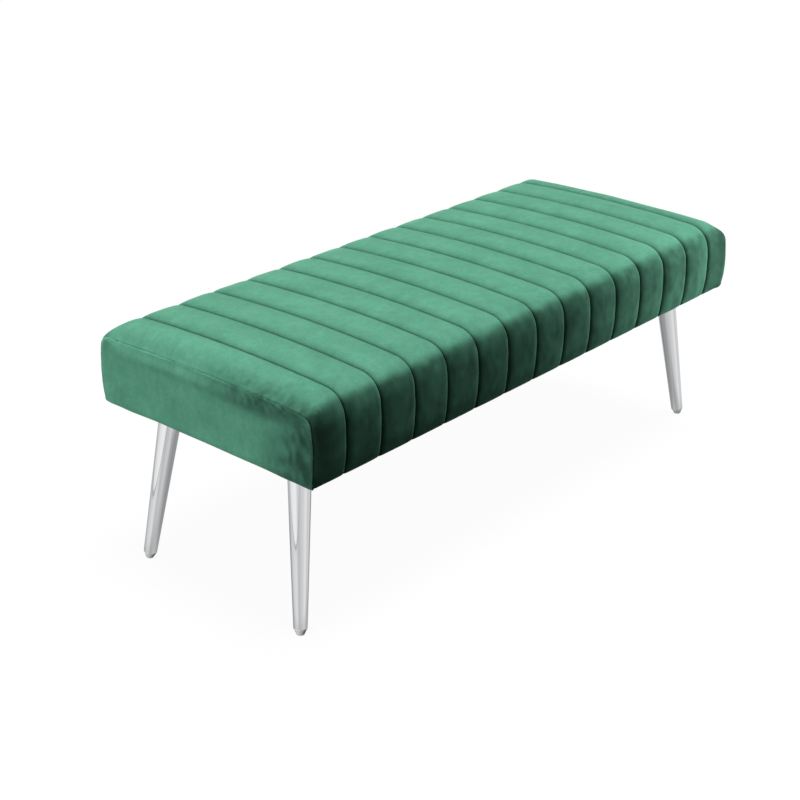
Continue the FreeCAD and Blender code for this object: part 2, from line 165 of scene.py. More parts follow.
# %% The end's bow and the corner's roll
roll_to_seam = math.radians(58.0)
# Each pair is how far the cloth faces up, from 0 at the sides to 1 on top, at both ends of a change.
front_broadening = (0.05, 0.8)
back_broadening = (0.2, 0.9)
below_tightening = (0.0, 0.6)
widening_heights = (20.0 * mm, 120.0 * mm)


def smooth(x):
    """An S-shaped rise from 0 at 0 to 1 at 1, level outside."""
    x = np.clip(x, 0.0, 1.0)
    return x * x * (3.0 - 2.0 * x)


def eased(value, start, full):
    """0 up to start, 1 from full on and a smooth rise between; full may also be the smaller."""
    return smooth((value - start) / (full - start))


def end_face_x(z):
    """How far out the end face stands at a height."""
    drop = z - (underside + end_bulge_height)
    return half_length - end_bow + np.sqrt(end_bow ** 2 - drop ** 2)


def corner_radius(angle, height):
    """The corner's roll where the cross-section faces this way: broad on top, tight at the sides."""
    facing_up = 1.0 - np.abs(np.arctan2(np.cos(angle), np.sin(angle))) / (math.pi / 2)
    at_front = np.cos(angle) < 0
    broad = np.where(at_front, eased(facing_up, *front_broadening), eased(facing_up, *back_broadening))
    below = eased(-facing_up, *below_tightening)
    widening = np.where(at_front, corner_widening, 0.0) * eased(height - underside, *widening_heights)
    tight = corner_roll + widening
    return tight + (end_roll - tight) * broad + (underside_roll - tight) * below


roll_radius = corner_radius(section_angle, section[:, 1])
roll_start = end_face_x(section[:, 1]) - roll_radius
print("corner rolls from", round(roll_radius.min() / mm, 1), "to", round(roll_radius.max() / mm, 1), "mm")

# %% [markdown]
# ## Stations along the seat
# Between two seams the fabric is a shallow pillow that drops steeply into the stitch line, so
# a sewn channel shows as a narrow groove. The grid's lines crowd at each seam to hold that
# groove and are sparse on the pillow.

# %% Seam places and the grid's lines
middle_channels = 13
seam_half_span = 536.0 * mm
channel_width = 2 * seam_half_span / middle_channels
half_channel = channel_width / 2
seams = [-seam_half_span + k * channel_width for k in range(middle_channels + 1)]
from_seam = [d * mm for d in (0.6, 1.2, 1.9, 2.8, 4.0, 6.0, 9.0, 13.5, 20.0, 28.0, 36.0)]
groove_depth = 3.0 * mm
groove_reach = 2.8 * mm
pillow_power = 3.4


def pillow(distance):
    """Height of the padded fabric above the seam line: a pillow less a stitched groove."""
    share = np.clip(distance / half_channel, 0.0, 1.0)
    swell = channel_rise * (1.0 - (1.0 - share) ** pillow_power)
    return swell - groove_depth * np.exp(-(distance / groove_reach) ** 1.3)


body_stations = [seams[0]]
for k in range(middle_channels):
    rising = [seams[k] + d for d in from_seam]
    falling = [seams[k + 1] - d for d in reversed(from_seam)]
    body_stations += rising + [seams[k] + half_channel] + falling + [seams[k + 1]]
print("channels", round(channel_width / mm, 1), "mm wide; stations", len(body_stations))

# %% [markdown]
# ## Sheets from grids
# A sewn cover is a sheet, so a grid of points and its quads describe it, and a Solidify modifier gives it
# the cloth's thickness on the inner side. One helper makes every such mesh, and another stores a number at
# each point, such as its painted light and shade, for a material to read.

# %% Mesh helpers
def add_piece(name, vertices, faces):
    """A mesh object in the seat's frame, riding on the bench's one body."""
    mesh = bpy.data.meshes.new(name)
    mesh.from_pydata([tuple(v) for v in vertices], [], faces)
    mesh.validate()
    mesh.shade_smooth()
    piece = bpy.data.objects.new(name, mesh)
    bpy.context.scene.collection.objects.link(piece)
    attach(piece, "root")
    return piece


def grid_faces(rows, columns, flip=False):
    """Quads over a grid of points stored row by row."""
    faces = []
    for i in range(rows - 1):
        for j in range(columns - 1):
            a = i * columns + j
            quad = (a, a + 1, a + columns + 1, a + columns)
            faces.append(quad[::-1] if flip else quad)
    return faces


def mark(piece, name, values):
    """Stores a number at each point for a material to read."""
    marks = piece.data.attributes.new(name, "FLOAT", "POINT")
    marks.data.foreach_set("value", np.asarray(values, np.float32).ravel())


def thicken(piece, thickness, offset=-1.0):
    """Gives a sheet its thickness, inwards from its outer face."""
    solid = piece.modifiers.new("cloth thickness", "SOLIDIFY")
    solid.thickness = thickness
    solid.offset = offset
    solid.use_even_offset = False


def wander(points, spacing, seed):
    """Soft noise from -1 to 1 at each point, with bumps about spacing apart."""
    shift = Vector((seed * 3.7, seed * 1.3, seed * 5.1))
    return np.array([noise.noise(Vector(p) / spacing + shift) for p in points])


# %% [markdown]
# ## How the finished seat settles
# The ends of a padded seat lie a little lower than its middle, because the cover is drawn down
# over them, and its lower corners stand out where the hem is folded in. Sculpting could do it,
# but one function that shifts finished points does it alike for the cover and the panels, so
# that they still meet at their seam.

# %% How the finished seat settles
# Each pair says where an effect starts and where it is full.
end_settling = 4.5 * mm
corner_fold_drop = 1.5 * mm
hem_straightening = 4.5 * mm
sunken_from_end = (110.0 * mm, 10.0 * mm)
sunken_heights = (60.0 * mm, 130.0 * mm)
sunken_side_margin = 20.0 * mm
fold_from_side = (50.0 * mm, 0.0)
fold_from_end = (22.0 * mm, 0.0)
fold_heights = (50.0 * mm, 0.0)
hem_from_middle = (110.0 * mm, 220.0 * mm)
hem_from_end = (50.0 * mm, 0.0)
hem_heights = (90.0 * mm, 0.0)


def settle(points):
    """Lowers the ends' tops where they are pulled flat, and fills out the lower corners."""
    from_end = half_length - np.abs(points[:, 0])
    from_middle = np.abs(points[:, 1])
    height = points[:, 2] - underside
    in_middle = np.clip(1.0 - (points[:, 1] / (half_depth - sunken_side_margin)) ** 2, 0.0, 1.0)
    sunken = eased(from_end, *sunken_from_end) * in_middle * eased(height, *sunken_heights)
    fold = eased(half_depth - from_middle, *fold_from_side) * eased(from_end, *fold_from_end)
    fold = fold * eased(height, *fold_heights)
    hem = eased(from_middle, *hem_from_middle) * eased(height, *hem_heights) * eased(from_end, *hem_from_end)
    settled = points.copy()
    settled[:, 0] += np.sign(points[:, 0]) * hem_straightening * hem
    settled[:, 2] -= end_settling * sunken + corner_fold_drop * fold
    return settled


# %% [markdown]
# ## Painted light and shade on the velvet
# Velvet looks darker or paler with the way its pile leans and the way light falls across it, much more than
# a plain cloth does. Here that light and shade is painted into the cloth's colour. Each seam gets a painted
# shaded side, a thin painted highlight rim and a dark painted stitch line. The front gets a deep painted
# shade, and the end gets a dark painted band of shade. A painted map could hold this, but here each point
# works out its own number, 1 for plain pile, less for painted shade and more for painted light, and the
# material reads it.

# %% Painted shade and highlight beside a seam
sideways_range = (0.55, 0.95)
stitch_width = 1.5 * mm
# A painted pale line along each end seam on the seat's top.
end_seam_painted_light = 0.6
end_seam_painted_light_reach = 3.0 * mm
# Painted shade on one side of each seam, a painted highlight rim on the other and a dark painted stitch
# line.
# Each pair below is the value on the seat's top and on its sides.
seam_painted_shade = (0.42, 0.62)
seam_painted_shade_reach = (8.0 * mm, 12.0 * mm)
seam_painted_rim = (0.34, 1.11)
seam_painted_rim_reach = (3.0 * mm, 5.5 * mm)
stitch_painted_shade = (0.4, 0.96)


def facing_sideways(angle):
    """From 0 on the seat's top to 1 on its front and back."""
    return eased(np.abs(np.cos(angle)), *sideways_range)


def by_facing(pair, sideways):
    """A value that goes from the pair's first on top to its second at the sides."""
    return pair[0] + (pair[1] - pair[0]) * sideways


def painted_shading_map(past, angle):
    """Painted light and shade past a seam, as if the cloth leaned along the seat: a painted shaded slope on
    one side, a painted highlight rim on the other and a dark painted stitch line.
    """
    sideways = facing_sideways(angle)
    fall = np.maximum(past, 0) / by_facing(seam_painted_shade_reach, sideways)
    shade = np.where(past > 0, by_facing(seam_painted_shade, sideways) * np.exp(-fall ** 1.1), 0.0)
    rise = np.abs(past) / by_facing(seam_painted_rim_reach, sideways)
    rim = np.where(past < 0, by_facing(seam_painted_rim, sideways) * np.exp(-rise), 0.0)
    line = by_facing(stitch_painted_shade, sideways) * np.exp(-(past / stitch_width) ** 2)
    return (1.0 - shade) * (1.0 + rim) * (1.0 - line)


def end_seam_painted_shading(past, angle):
    """The same painted shading past an end seam, which hardly shows on the seat's top, where a painted pale
    line runs along the seam instead.
    """
    sideways = facing_sideways(angle)
    pale = end_seam_painted_light * (1.0 - sideways) * np.exp(-np.abs(past) / end_seam_painted_light_reach)
    return 1.0 + sideways * (painted_shading_map(past, angle) - 1.0) + pale


# %% A painted band of shade on the end
painted_band_from_end = (75.0 * mm, 15.0 * mm)
painted_band_height = 119.0 * mm
painted_band_wobble = 5.0 * mm
painted_band_above = 20.0 * mm
painted_band_below = 26.0 * mm
painted_band_to_front = (60.0 * mm, -140.0 * mm)
corner_painted_shade = 1.15
corner_painted_shade_reach = 115.0 * mm
corner_painted_shade_heights = (170.0 * mm, 85.0 * mm)
corner_widens_below = 130.0 * mm
corner_widening_slope = 0.5
fine_streak = 7.0 * mm
broad_streak = 22.0 * mm
broad_streak_share = 0.7
evenly_painted_band = 0.85
streak_strength = 0.35


def painted_shade_band(points):
    """Where painted shade lies on the end: a streaked band under its top seam, and beside its front corner.
    """
    from_end = half_length - np.abs(points[:, 0])
    from_front = points[:, 1] + half_depth
    above_hem = points[:, 2] - underside
    streaks = wander(points * (1, 1, 0.35), fine_streak, 21)
    streaks = streaks + broad_streak_share * wander(points, broad_streak, 22)
    middle = painted_band_height + painted_band_wobble * streaks
    width = np.where(above_hem > middle, painted_band_above, painted_band_below)
    band = np.exp(-((above_hem - middle) / width) ** 2) * eased(points[:, 1], *painted_band_to_front)
    lower = np.maximum(corner_widens_below - above_hem, 0.0)
    reach = corner_painted_shade_reach + corner_widening_slope * lower
    corner = corner_painted_shade * eased(from_front, reach, 0.0) * eased(above_hem, *corner_painted_shade_heights)
    painted_band = np.maximum(band, corner) * (evenly_painted_band + streak_strength * streaks)
    return np.clip(painted_band, 0.0, 1.0) * eased(from_end, *painted_band_from_end)


# %% [markdown]
# ## The quilted cover
# The middle is the cross-section swept along the seat, with the pillows added along its
# normals. Past the last seam each grid line carries on round the end's roll, where the normal
# turns from the cross-section's own towards the end, as cloth pulled over a padded corner does.

# %% Build the cover's grid
fabric_thickness = 1.2 * mm
end_seam_groove = 0.05 * mm
end_seam_reach = 2.0 * mm
pillow_fading = (50.0 * mm, 14.0 * mm)
roll_steps = 10
# Painted shade over the end's roll, on the seat's top and on the panel just below its seam.
painted_roll_shade = 0.24
fullness = np.random.default_rng(11).uniform(-0.35, 0.35, middle_channels + 2) * mm


def end_seam_dip(distance):
    """How far an end seam draws the cloth in."""
    return end_seam_groove * np.exp(-(distance / end_seam_reach) ** 1.4)


def cover_grid():
    """One row per station: its points, normals, heights, distances to a seam, and painted shading."""
    rows = []
    for x in body_stations:
        past = min((x - s for s in seams), key=abs)
        channel = min(int((x + seam_half_span) / channel_width), middle_channels - 1)
        lift = pillow(abs(past)) + fullness[channel + 1] * smooth(abs(past) / half_channel)
        points = np.column_stack([np.full(len(section), x), section])
        normals = np.column_stack([np.zeros(len(section)), section_normal])
        # Painted shade and highlight beside the nearest seam.
        pile = painted_shading_map(np.full(len(section), past), section_angle)
        rows.append((points, normals, np.full(len(section), lift), np.full(len(section), abs(past)), pile))
    ends = {side: end_rows(side) for side in (-1, 1)}
    return ends[-1][::-1] + rows + ends[1]


def end_rows(side):
    """The rows past the last seam at one end: a flat run, then round the roll to the end seam."""
    run = roll_start - seam_half_span
    arc = roll_radius * roll_to_seam
    full = fullness[0 if side < 0 else -1]
    places = [np.full(len(section), d) for d in from_seam[:8]]
    places += [places[7] + (run - places[7]) * share for share in (0.35, 0.7, 1.0)]
    places += [run + arc * k / roll_steps for k in range(1, roll_steps + 1)]
    rows = []
    for place in places:
        turn = np.clip((place - run) / roll_radius, 0.0, roll_to_seam)
        inset = roll_radius * (1.0 - np.cos(turn))
        yz = section - section_normal * inset[:, None]
        straight = seam_half_span + np.minimum(place, run)
        x = straight + np.where(turn > 0, end_face_x(yz[:, 1]) - end_face_x(section[:, 1]), 0.0)
        x = x + roll_radius * np.sin(turn)
        left = run + arc - place
        nearest = np.minimum(place, left)
        sideways = facing_sideways(section_angle)
        lift = pillow(place) * smooth(left / by_facing(pillow_fading, sideways)) - end_seam_dip(left)
        lift = lift + full * smooth(nearest / half_channel)
        points = np.column_stack([side * x, yz])
        normals = np.column_stack([side * np.sin(turn), section_normal * np.cos(turn)[:, None]])
        # Painted seam shading, with the painted pale line along the end seam.
        pile = painted_shading_map(side * place, section_angle) * end_seam_painted_shading(-side * left, section_angle)
        # Painted shade over the end's roll, on the seat's top.
        pile = pile * (1.0 - painted_roll_shade * smooth(turn / roll_to_seam) * (1.0 - sideways))
        rows.append((points, normals, lift, nearest, pile))
    return rows


# %% [markdown]
# ## The padding presses the cloth out
# Under a sewn cover the wadding pushes outwards while every seam holds the cloth down, so each
# channel swells on its own. Arcs alone would look machined, so a trial sheet with its seams and
# hems pinned is run as cloth under pressure for a few frames. The shift of each point is read
# back, capped and added to the arcs, and the trial is removed. The grids are even already and a
# remesh would take the narrow grooves off, so none comes first.

# %% Press a sewn cloth out
cloth_frames = 20
channel_pressure = 4.0
channel_shift_cap = 2.5 * mm
panel_pressure = 0.3
panel_shift_cap = 5.0 * mm


def pressed_out(points, faces, sewn, pressure, most):
    """How each point moves when padding presses a cloth sewn down at some points."""
    mesh = bpy.data.meshes.new("cloth trial")
    mesh.from_pydata(points.tolist(), [], faces)
    trial = bpy.data.objects.new("cloth trial", mesh)
    bpy.context.scene.collection.objects.link(trial)
    held = trial.vertex_groups.new(name="sewn")
    held.add(np.flatnonzero(sewn).tolist(), 1.0, "REPLACE")
    cloth = trial.modifiers.new("padded cloth", "CLOTH")
    cloth.settings.quality = 6
    cloth.settings.mass = 0.3
    cloth.settings.tension_stiffness = 15.0
    cloth.settings.compression_stiffness = 15.0
    cloth.settings.shear_stiffness = 5.0
    cloth.settings.bending_stiffness = 0.1
    cloth.settings.vertex_group_mass = held.name
    cloth.settings.use_pressure = True
    cloth.settings.uniform_pressure_force = pressure
    cloth.settings.effector_weights.gravity = 0.0
    cloth.point_cache.frame_start = 1
    cloth.point_cache.frame_end = cloth_frames
    for frame_number in range(1, cloth_frames + 1):
        bpy.context.scene.frame_set(frame_number)
    solved = trial.evaluated_get(bpy.context.evaluated_depsgraph_get()).data
    moved = np.empty(len(points) * 3, np.float32)
    solved.vertices.foreach_get("co", moved)
    bpy.data.objects.remove(trial)
    bpy.context.scene.frame_set(1)
    shift = moved.reshape(-1, 3) - points
    size = np.linalg.norm(shift, axis=1)
    print("cloth moved", round(size.mean() / mm, 2), "mm on average,", round(size.max() / mm, 2), "at most")
    return shift * np.minimum(1.0, most / np.maximum(size, 1e-9))[:, None]


# %% Lay out the cover and press it out
on_seam_within = 0.1 * mm
solved_spacing = 3
rows = cover_grid()
cover_points = np.vstack([r[0] for r in rows])
cover_normals = np.vstack([r[1] for r in rows])
cover_lift = np.concatenate([r[2] for r in rows])
cover_seam = np.concatenate([r[3] for r in rows])
# The painted light and shade at each point of the cover.
cover_painted_shading = np.concatenate([r[4] for r in rows])
seam_line = {-1: rows[0][0], 1: rows[-1][0]}
on_seam = [r[3].max() < on_seam_within for r in rows]
print("cover grid", len(rows), "by", len(section))


def filled_in(values, kept, count):
    """Values on the kept lines, filled in for all the lines between them."""
    flat = values.reshape(len(kept), -1)
    filled = [np.interp(range(count), kept, column) for column in flat.T]
    return np.column_stack(filled).reshape(count, *values.shape[1:])


def pressed_cover():
    """The cover's shift, solved on every third row and column to save time and filled in between."""
    last = len(section) - 1
    columns = sorted(set(range(0, len(section), solved_spacing)) | {last})
    lines = [k for k in range(len(rows)) if on_seam[k] or k % solved_spacing == 0]
    coarse = cover_points.reshape(len(rows), len(section), 3)[np.ix_(lines, columns)]
    sewn = np.zeros(coarse.shape[:2], bool)
    sewn[:, [0, -1]] = True
    sewn[[on_seam[k] for k in lines]] = True
    faces = grid_faces(len(lines), len(columns), flip=True)
    shift = pressed_out(coarse.reshape(-1, 3), faces, sewn.ravel(), channel_pressure, channel_shift_cap)
    shift = shift.reshape(coarse.shape).swapaxes(0, 1)
    across = filled_in(shift, columns, len(section)).swapaxes(0, 1)
    return filled_in(across, lines, len(rows)).reshape(-1, 3)


# %% Give the cloth its unevenness
broad_bump = 90.0 * mm
broad_bump_height = 0.7 * mm
fine_bump = 18.0 * mm
fine_bump_height = 0.25 * mm
held_beside_seam = 12.0 * mm
hem_flattening = 34.0 * mm
flat_at_hem = 0.25


def uneven(lift):
    """The heights with the wadding's bumps, which fade at the seams, and pulled flat at the hem."""
    broad = wander(cover_points, broad_bump, 1) * broad_bump_height
    fine = wander(cover_points * (0.6, 1.0, 1.0), fine_bump, 2) * fine_bump_height
    lift = lift + (broad + fine) * smooth(cover_seam / held_beside_seam)
    above_hem = cover_points[:, 2] - underside
    share_kept = flat_at_hem + (1.0 - flat_at_hem) * smooth(above_hem / hem_flattening)
    return np.where(lift > 0, lift * share_kept, lift)


# %% Painted shade on the front
painted_front_level = 0.35
painted_lighter_below = 0.2
painted_lighter_below_range = (50.0 * mm, 145.0 * mm)
painted_lighter_to_right = 0.18
painted_lighter_to_right_range = (-100.0 * mm, 600.0 * mm)
small_fleck = 10.0 * mm
large_fleck = 22.0 * mm
fleck_strength = 0.34
painted_front_range = (0.55, 0.88)
painted_front_edge_patch = 26.0 * mm
painted_front_edge_wobble = 0.1
painted_front_on_back = 0.4


def painted_front_shading(points):
    """The front's painted light: deep painted shade high up, painted paler lower down and to the right, with
    random flecks.
    """
    light = painted_front_level + painted_lighter_below * eased(seam_top - points[:, 2], *painted_lighter_below_range)
    light = light + painted_lighter_to_right * eased(points[:, 0], *painted_lighter_to_right_range)
    flecks = wander(points * (1.0, 1.0, 0.55), small_fleck, 9)
    flecks = flecks + wander(points * (1.0, 1.0, 0.4), large_fleck, 10)
    return light * (1.0 + fleck_strength * flecks)


def painted_front_shade_mask(points):
    """1 where the front's painted shade lies, with an uneven upper edge; the back gets less of it."""
    turned_away = np.abs(np.tile(section_normal[:, 0], len(rows)))
    turned_away = turned_away + painted_front_edge_wobble * wander(points, painted_front_edge_patch, 8)
    return eased(turned_away, *painted_front_range) * np.where(points[:, 1] < 0, 1.0, painted_front_on_back)


# %% Make the cover
# How far the painted band of shade darkens the cover.
cover_painted_band = 0.62
cover_points = cover_points + cover_normals * uneven(cover_lift)[:, None] + pressed_cover()
cover_points = settle(cover_points)
quilted_cover = add_piece("velvet_cover", cover_points, grid_faces(len(rows), len(section), flip=True))
# Painted shade on the front and back, and the painted band of shade on the ends, darken the cover.
cover_painted_shading = cover_painted_shading * (1.0 - (1.0 - painted_front_shading(cover_points)) * painted_front_shade_mask(cover_points))
mark(quilted_cover, "painted_shading_map", cover_painted_shading * (1.0 - cover_painted_band * painted_shade_band(cover_points)))
thicken(quilted_cover, fabric_thickness)
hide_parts("quilted_cover")
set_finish(quilted_cover, "velvet")
print("cover's pile from", round(cover_painted_shading.min(), 2), "to", round(cover_painted_shading.max(), 2))

# %% [markdown]
# ## The end panels
# Each end panel is cut to the outline of the seat's end and sewn to the cover all round but
# below, where it turns under. A patch stretched between its four edges gives an even grid;
# how far each point lies inside the outline then says how much the padded corner holds it
# back, so that the panel leaves the seam at the same slope as the cover.

# %% Lay out a panel
across_steps = 64
up_steps = 34
turn_steps = 5


def even(points, count):
    """The line again with evenly spaced points."""
    reach = np.concatenate([[0], np.cumsum(np.linalg.norm(np.diff(points, axis=0), axis=1))])
    at = np.linspace(0, reach[-1], count)
    return np.column_stack([np.interp(at, reach, points[:, k]) for k in range(points.shape[1])])


def patch(bottom, top, left, right):
    """A grid stretched between four edge lines."""
    a = np.linspace(0, 1, len(bottom))[None, :, None]
    b = np.linspace(0, 1, len(left))[:, None, None]
    ruled = (1 - b) * bottom[None] + b * top[None] + (1 - a) * left[:, None] + a * right[:, None]
    corners = (1 - a) * (1 - b) * bottom[0] + a * (1 - b) * bottom[-1]
    corners = corners + (1 - a) * b * top[0] + a * b * top[-1]
    return ruled - corners


def panel_outline(side):
    """The seam's (y, z) line in four edges: front, top, back, and the straight bottom."""
    line = seam_line[side][:, 1:]
    upright = np.abs(np.arctan2(section_normal[:, 0], section_normal[:, 1]))
    low = np.where((line[:, 1] >= underside + underside_roll - 1e-6) & (upright < 2.0))[0]
    line = line[low[0]:low[-1] + 1]
    facing = upright[low[0]:low[-1] + 1]
    corners = np.where(facing < math.radians(46))[0]
    front = line[:corners[0] + 1]
    top = line[corners[0]:corners[-1] + 1]
    back = line[corners[-1]:][::-1]
    bottom = np.linspace(front[0], back[0], across_steps)
    return bottom, even(top, across_steps), even(front, up_steps), even(back, up_steps)


def inset_from_skin(points):
    """How far each (y, z) point lies inside the cross-section, and the roll radius there."""
    gap = points[:, None, :] - section[None, :, :]
    distance = np.linalg.norm(gap, axis=2)
    nearest = distance.argmin(axis=1)
    depth = -np.einsum("ij,ij->i", points - section[nearest], section_normal[nearest])
    return depth, roll_radius[nearest]


# %% Build a panel
panel_fullness = 2.0 * mm
full_from_seam = 45.0 * mm
panel_bump = 80.0 * mm
panel_bump_height = 0.9 * mm
held_from_seam = 20.0 * mm
hem_narrowing = 0.034
tuck_narrowing = 0.03
tuck_lift = 0.4 * mm
panel_sewn_within = 1.0 * mm
# Painted rim along the panel's seam: pale at the left panel's corners, dark at the right's, pale along the
# top.
panel_painted_rim = 0.7
panel_painted_rim_reach = 2.5 * mm
panel_corner_range = (40.0 * mm, 10.0 * mm)
painted_roll_shade_from_top = (62.0 * mm, 24.0 * mm)
panel_painted_band = 0.8


def panel_points(side):
    """The panel's grid on the bowed end face, drawn in along its edges as the cover's roll is."""
    bottom, top, front, back = panel_outline(side)
    yz = patch(bottom, top, front, back).reshape(-1, 2)
    depth, radius = inset_from_skin(yz)
    held = np.clip(1.0 - depth / radius, 0.0, 1.0)
    x = end_face_x(yz[:, 1]) - radius * (1.0 - np.sqrt(1.0 - held ** 2))
    return np.column_stack([side * x, yz])


def seam_gap(points, side):
    """Each panel point's distance to the seam line."""
    line = seam_line[side]
    return np.array([np.linalg.norm(line - p, axis=1).min() for p in points])


def tucked_rows(low_row, side):
    """The rows from the panel's lowest one round the hem and in under the seat."""
    hem = []
    for k in range(1, turn_steps + 1):
        angle = math.pi / 2 * k / turn_steps
        row = low_row.copy()
        row[:, 0] -= side * underside_roll * (1 - math.cos(angle))
        row[:, 1] *= 1.0 - hem_narrowing * (1 - math.cos(angle))
        row[:, 2] = underside + underside_roll * (1 - math.sin(angle)) - tuck_lift * k / turn_steps
        hem.append(row)
    for share in (0.33, 0.67, 1.0):
        row = hem[turn_steps - 1].copy()
        row[:, 0] -= side * (turn_under - underside_roll) * share
        row[:, 1] *= 1.0 - tuck_narrowing * share
        hem.append(row)
    return hem


def panel_painted_shading(points, gap, side):
    """The panel's painted light and shade: a painted rim along its seam, painted shade below the roll and
    the painted band of shade.
    """
    at_corner = eased(half_depth - np.abs(points[:, 1]), *panel_corner_range)
    rim = -side * panel_painted_rim * at_corner + end_seam_painted_light * (1.0 - at_corner)
    rim = rim * np.exp(-gap / panel_painted_rim_reach)
    # Painted shade just below the panel's top seam, where the roll turns.
    roll_painted_shade = 1.0 - painted_roll_shade * eased(seam_top - points[:, 2], *painted_roll_shade_from_top)
    return (1.0 + rim) * roll_painted_shade * (1.0 - panel_painted_band * painted_shade_band(points))


def end_panel(side, name, seed):
    """One padded end panel, sewn along the cover's end and turned under below."""
    points = panel_points(side)
    gap = seam_gap(points, side)
    shape = points.reshape(up_steps, across_steps, 3)
    swell = panel_fullness * smooth(gap / full_from_seam) - end_seam_dip(gap)
    swell = swell + wander(points, panel_bump, seed) * panel_bump_height * smooth(gap / held_from_seam)
    shape[:, :, 0] += side * swell.reshape(up_steps, across_steps)
    hem = tucked_rows(shape[0], side)
    whole = np.vstack([np.array(hem[::-1]).reshape(-1, 3), shape.reshape(-1, 3)])
    faces = grid_faces(up_steps + len(hem), across_steps, flip=side > 0)
    sewn = seam_gap(whole, side) < panel_sewn_within
    sewn[:len(hem) * across_steps] = True
    whole = whole + pressed_out(whole, faces, sewn, panel_pressure, panel_shift_cap)
    panel = add_piece(name, settle(whole), faces)
    mark(panel, "painted_shading_map", panel_painted_shading(whole, seam_gap(whole, side), side))
    thicken(panel, fabric_thickness)
    return panel


for side, end in ((-1, "left"), (1, "right")):
    panel = end_panel(side, "velvet_end_" + end, seed=4 + side)
    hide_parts("end_panel_" + end)
    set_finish(panel, "velvet")
print("end panels made")

# %% [markdown]
# ## The legs
# Each leg is a steel tube swaged to a taper, splayed towards its corner, welded under a square
# plate and plated with chrome. A tube is turned from one profile, so its mesh is rings round
# the leg's axis. The plate is level and the axis leans, so each line of the top ring runs on
# until it meets the plate.

# %% Where each leg stands
leg_end_margin = 68.5 * mm
leg_side_margin = 99.5 * mm
splay_along = 40.5 * mm
splay_across = 36.0 * mm
leg_top_radius = 20.5 * mm
leg_foot_radius = 12.0 * mm
leg_wall = 1.5 * mm
glide_height = 12.2 * mm
glide_base_radius = 6.5 * mm
leg_x = half_length - leg_end_margin
leg_y = half_depth - leg_side_margin
plate_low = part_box("leg_front_left_plate")[0].z
ring_points = 72
outside_rings = 12
foot_rounding = 0.5 * mm


def leg_axis(side, face):
    """The point on the floor under a leg, the axis up to its plate, and the axis's length."""
    foot = Vector((side * (leg_x + splay_along), face * (leg_y + splay_across), 0.0))
    rise = Vector((side * leg_x, face * leg_y, plate_low)) - foot
    return foot, rise.normalized(), rise.length


leg_length = leg_axis(1, 1)[2]
leg_taper = (leg_top_radius - leg_foot_radius) / (leg_length - glide_height)
leg_lean = math.degrees(math.acos(plate_low / leg_length))
print("legs", round(leg_length / mm, 1), "mm long, leaning", round(leg_lean, 1), "degrees")


# %% Turn a profile round an axis
def turned(name, foot, way, profile, top=None):
    """Rings of (height, radius) points round an axis; a leg's last ring is cut level at top."""
    aside = way.orthogonal().normalized()
    across = way.cross(aside)
    vertices = []
    for height, radius in profile:
        for k in range(ring_points):
            angle = 2 * math.pi * k / ring_points
            out = aside * math.cos(angle) + across * math.sin(angle)
            point = foot + way * height + out * radius
            if top is not None and height >= leg_length - 1e-6:
                slope = way + out * leg_taper
                point += slope * ((top - point.z) / slope.z)
            vertices.append(point)
    faces = []
    rings = len(profile)
    for i in range(rings - 1):
        for k in range(ring_points):
            n = (k + 1) % ring_points
            faces.append((i * ring_points + k, i * ring_points + n,
                          (i + 1) * ring_points + n, (i + 1) * ring_points + k))
    return add_piece(name, vertices, faces)


def rounded_edge(height, radius, corner, steps=4):
    """Profile points round a tube's lower outside edge."""
    points = []
    for k in range(steps + 1):
        angle = math.pi / 2 * k / steps
        points.append((height + corner * (1 - math.sin(angle)), radius - corner * (1 - math.cos(angle))))
    return points[::-1]


def tube_profile():
    """Down the bore and up the outside, so that the wall shows at the foot."""
    foot_edge = rounded_edge(glide_height, leg_foot_radius, foot_rounding)
    inside = [(leg_length, leg_top_radius - leg_wall), (glide_height, leg_foot_radius - leg_wall)]
    outside = []
    for k in range(1, outside_rings + 1):
        height = glide_height + (leg_length - glide_height) * k / outside_rings
        outside.append((height, leg_foot_radius + leg_taper * (height - glide_height)))
    return inside + foot_edge + outside


# %% [markdown]
# ## The glides
# The pale foot is a moulded plastic plug: its stem is pressed into the tube and its tip
# narrows to a flat that stands on the floor. It is turned the same way, with small rounds
# where a mould would have them, and cut level at the floor.

# %% Make legs and glides
glide_stem_length = 14.0 * mm
glide_play = 0.1 * mm
glide_rounding = 0.6 * mm
centre_hole = 0.4 * mm


def glide_profile():
    """From the middle of the flat foot out, up the tip, in over its rim and up the stem."""
    narrowing = (leg_foot_radius - glide_base_radius) / glide_height
    stem = leg_foot_radius - leg_wall - glide_play
    stem_top = glide_height + glide_stem_length
    tip_top = leg_foot_radius - 0.2 * mm
    foot = [(0.0, centre_hole), (0.0, glide_base_radius - 0.7 * mm)]
    tip = [(0.3 * mm, glide_base_radius - 0.15 * mm), (1.2 * mm, glide_base_radius + narrowing * 1.2 * mm)]
    tip += [(glide_height - glide_rounding, tip_top - 0.05 * mm), (glide_height - 0.15 * mm, tip_top)]
    rim = [(glide_height, leg_foot_radius - glide_rounding), (glide_height, stem)]
    return foot + tip + rim + [(stem_top - 1 * mm, stem), (stem_top, stem - 1 * mm), (stem_top, centre_hole)]


def glide(name, foot, way):
    """A turned glide, cut level where it meets the floor."""
    piece = turned(name, foot, way, glide_profile())
    for vertex in piece.data.vertices:
        vertex.co.z = max(vertex.co.z, 0.0)
    return piece


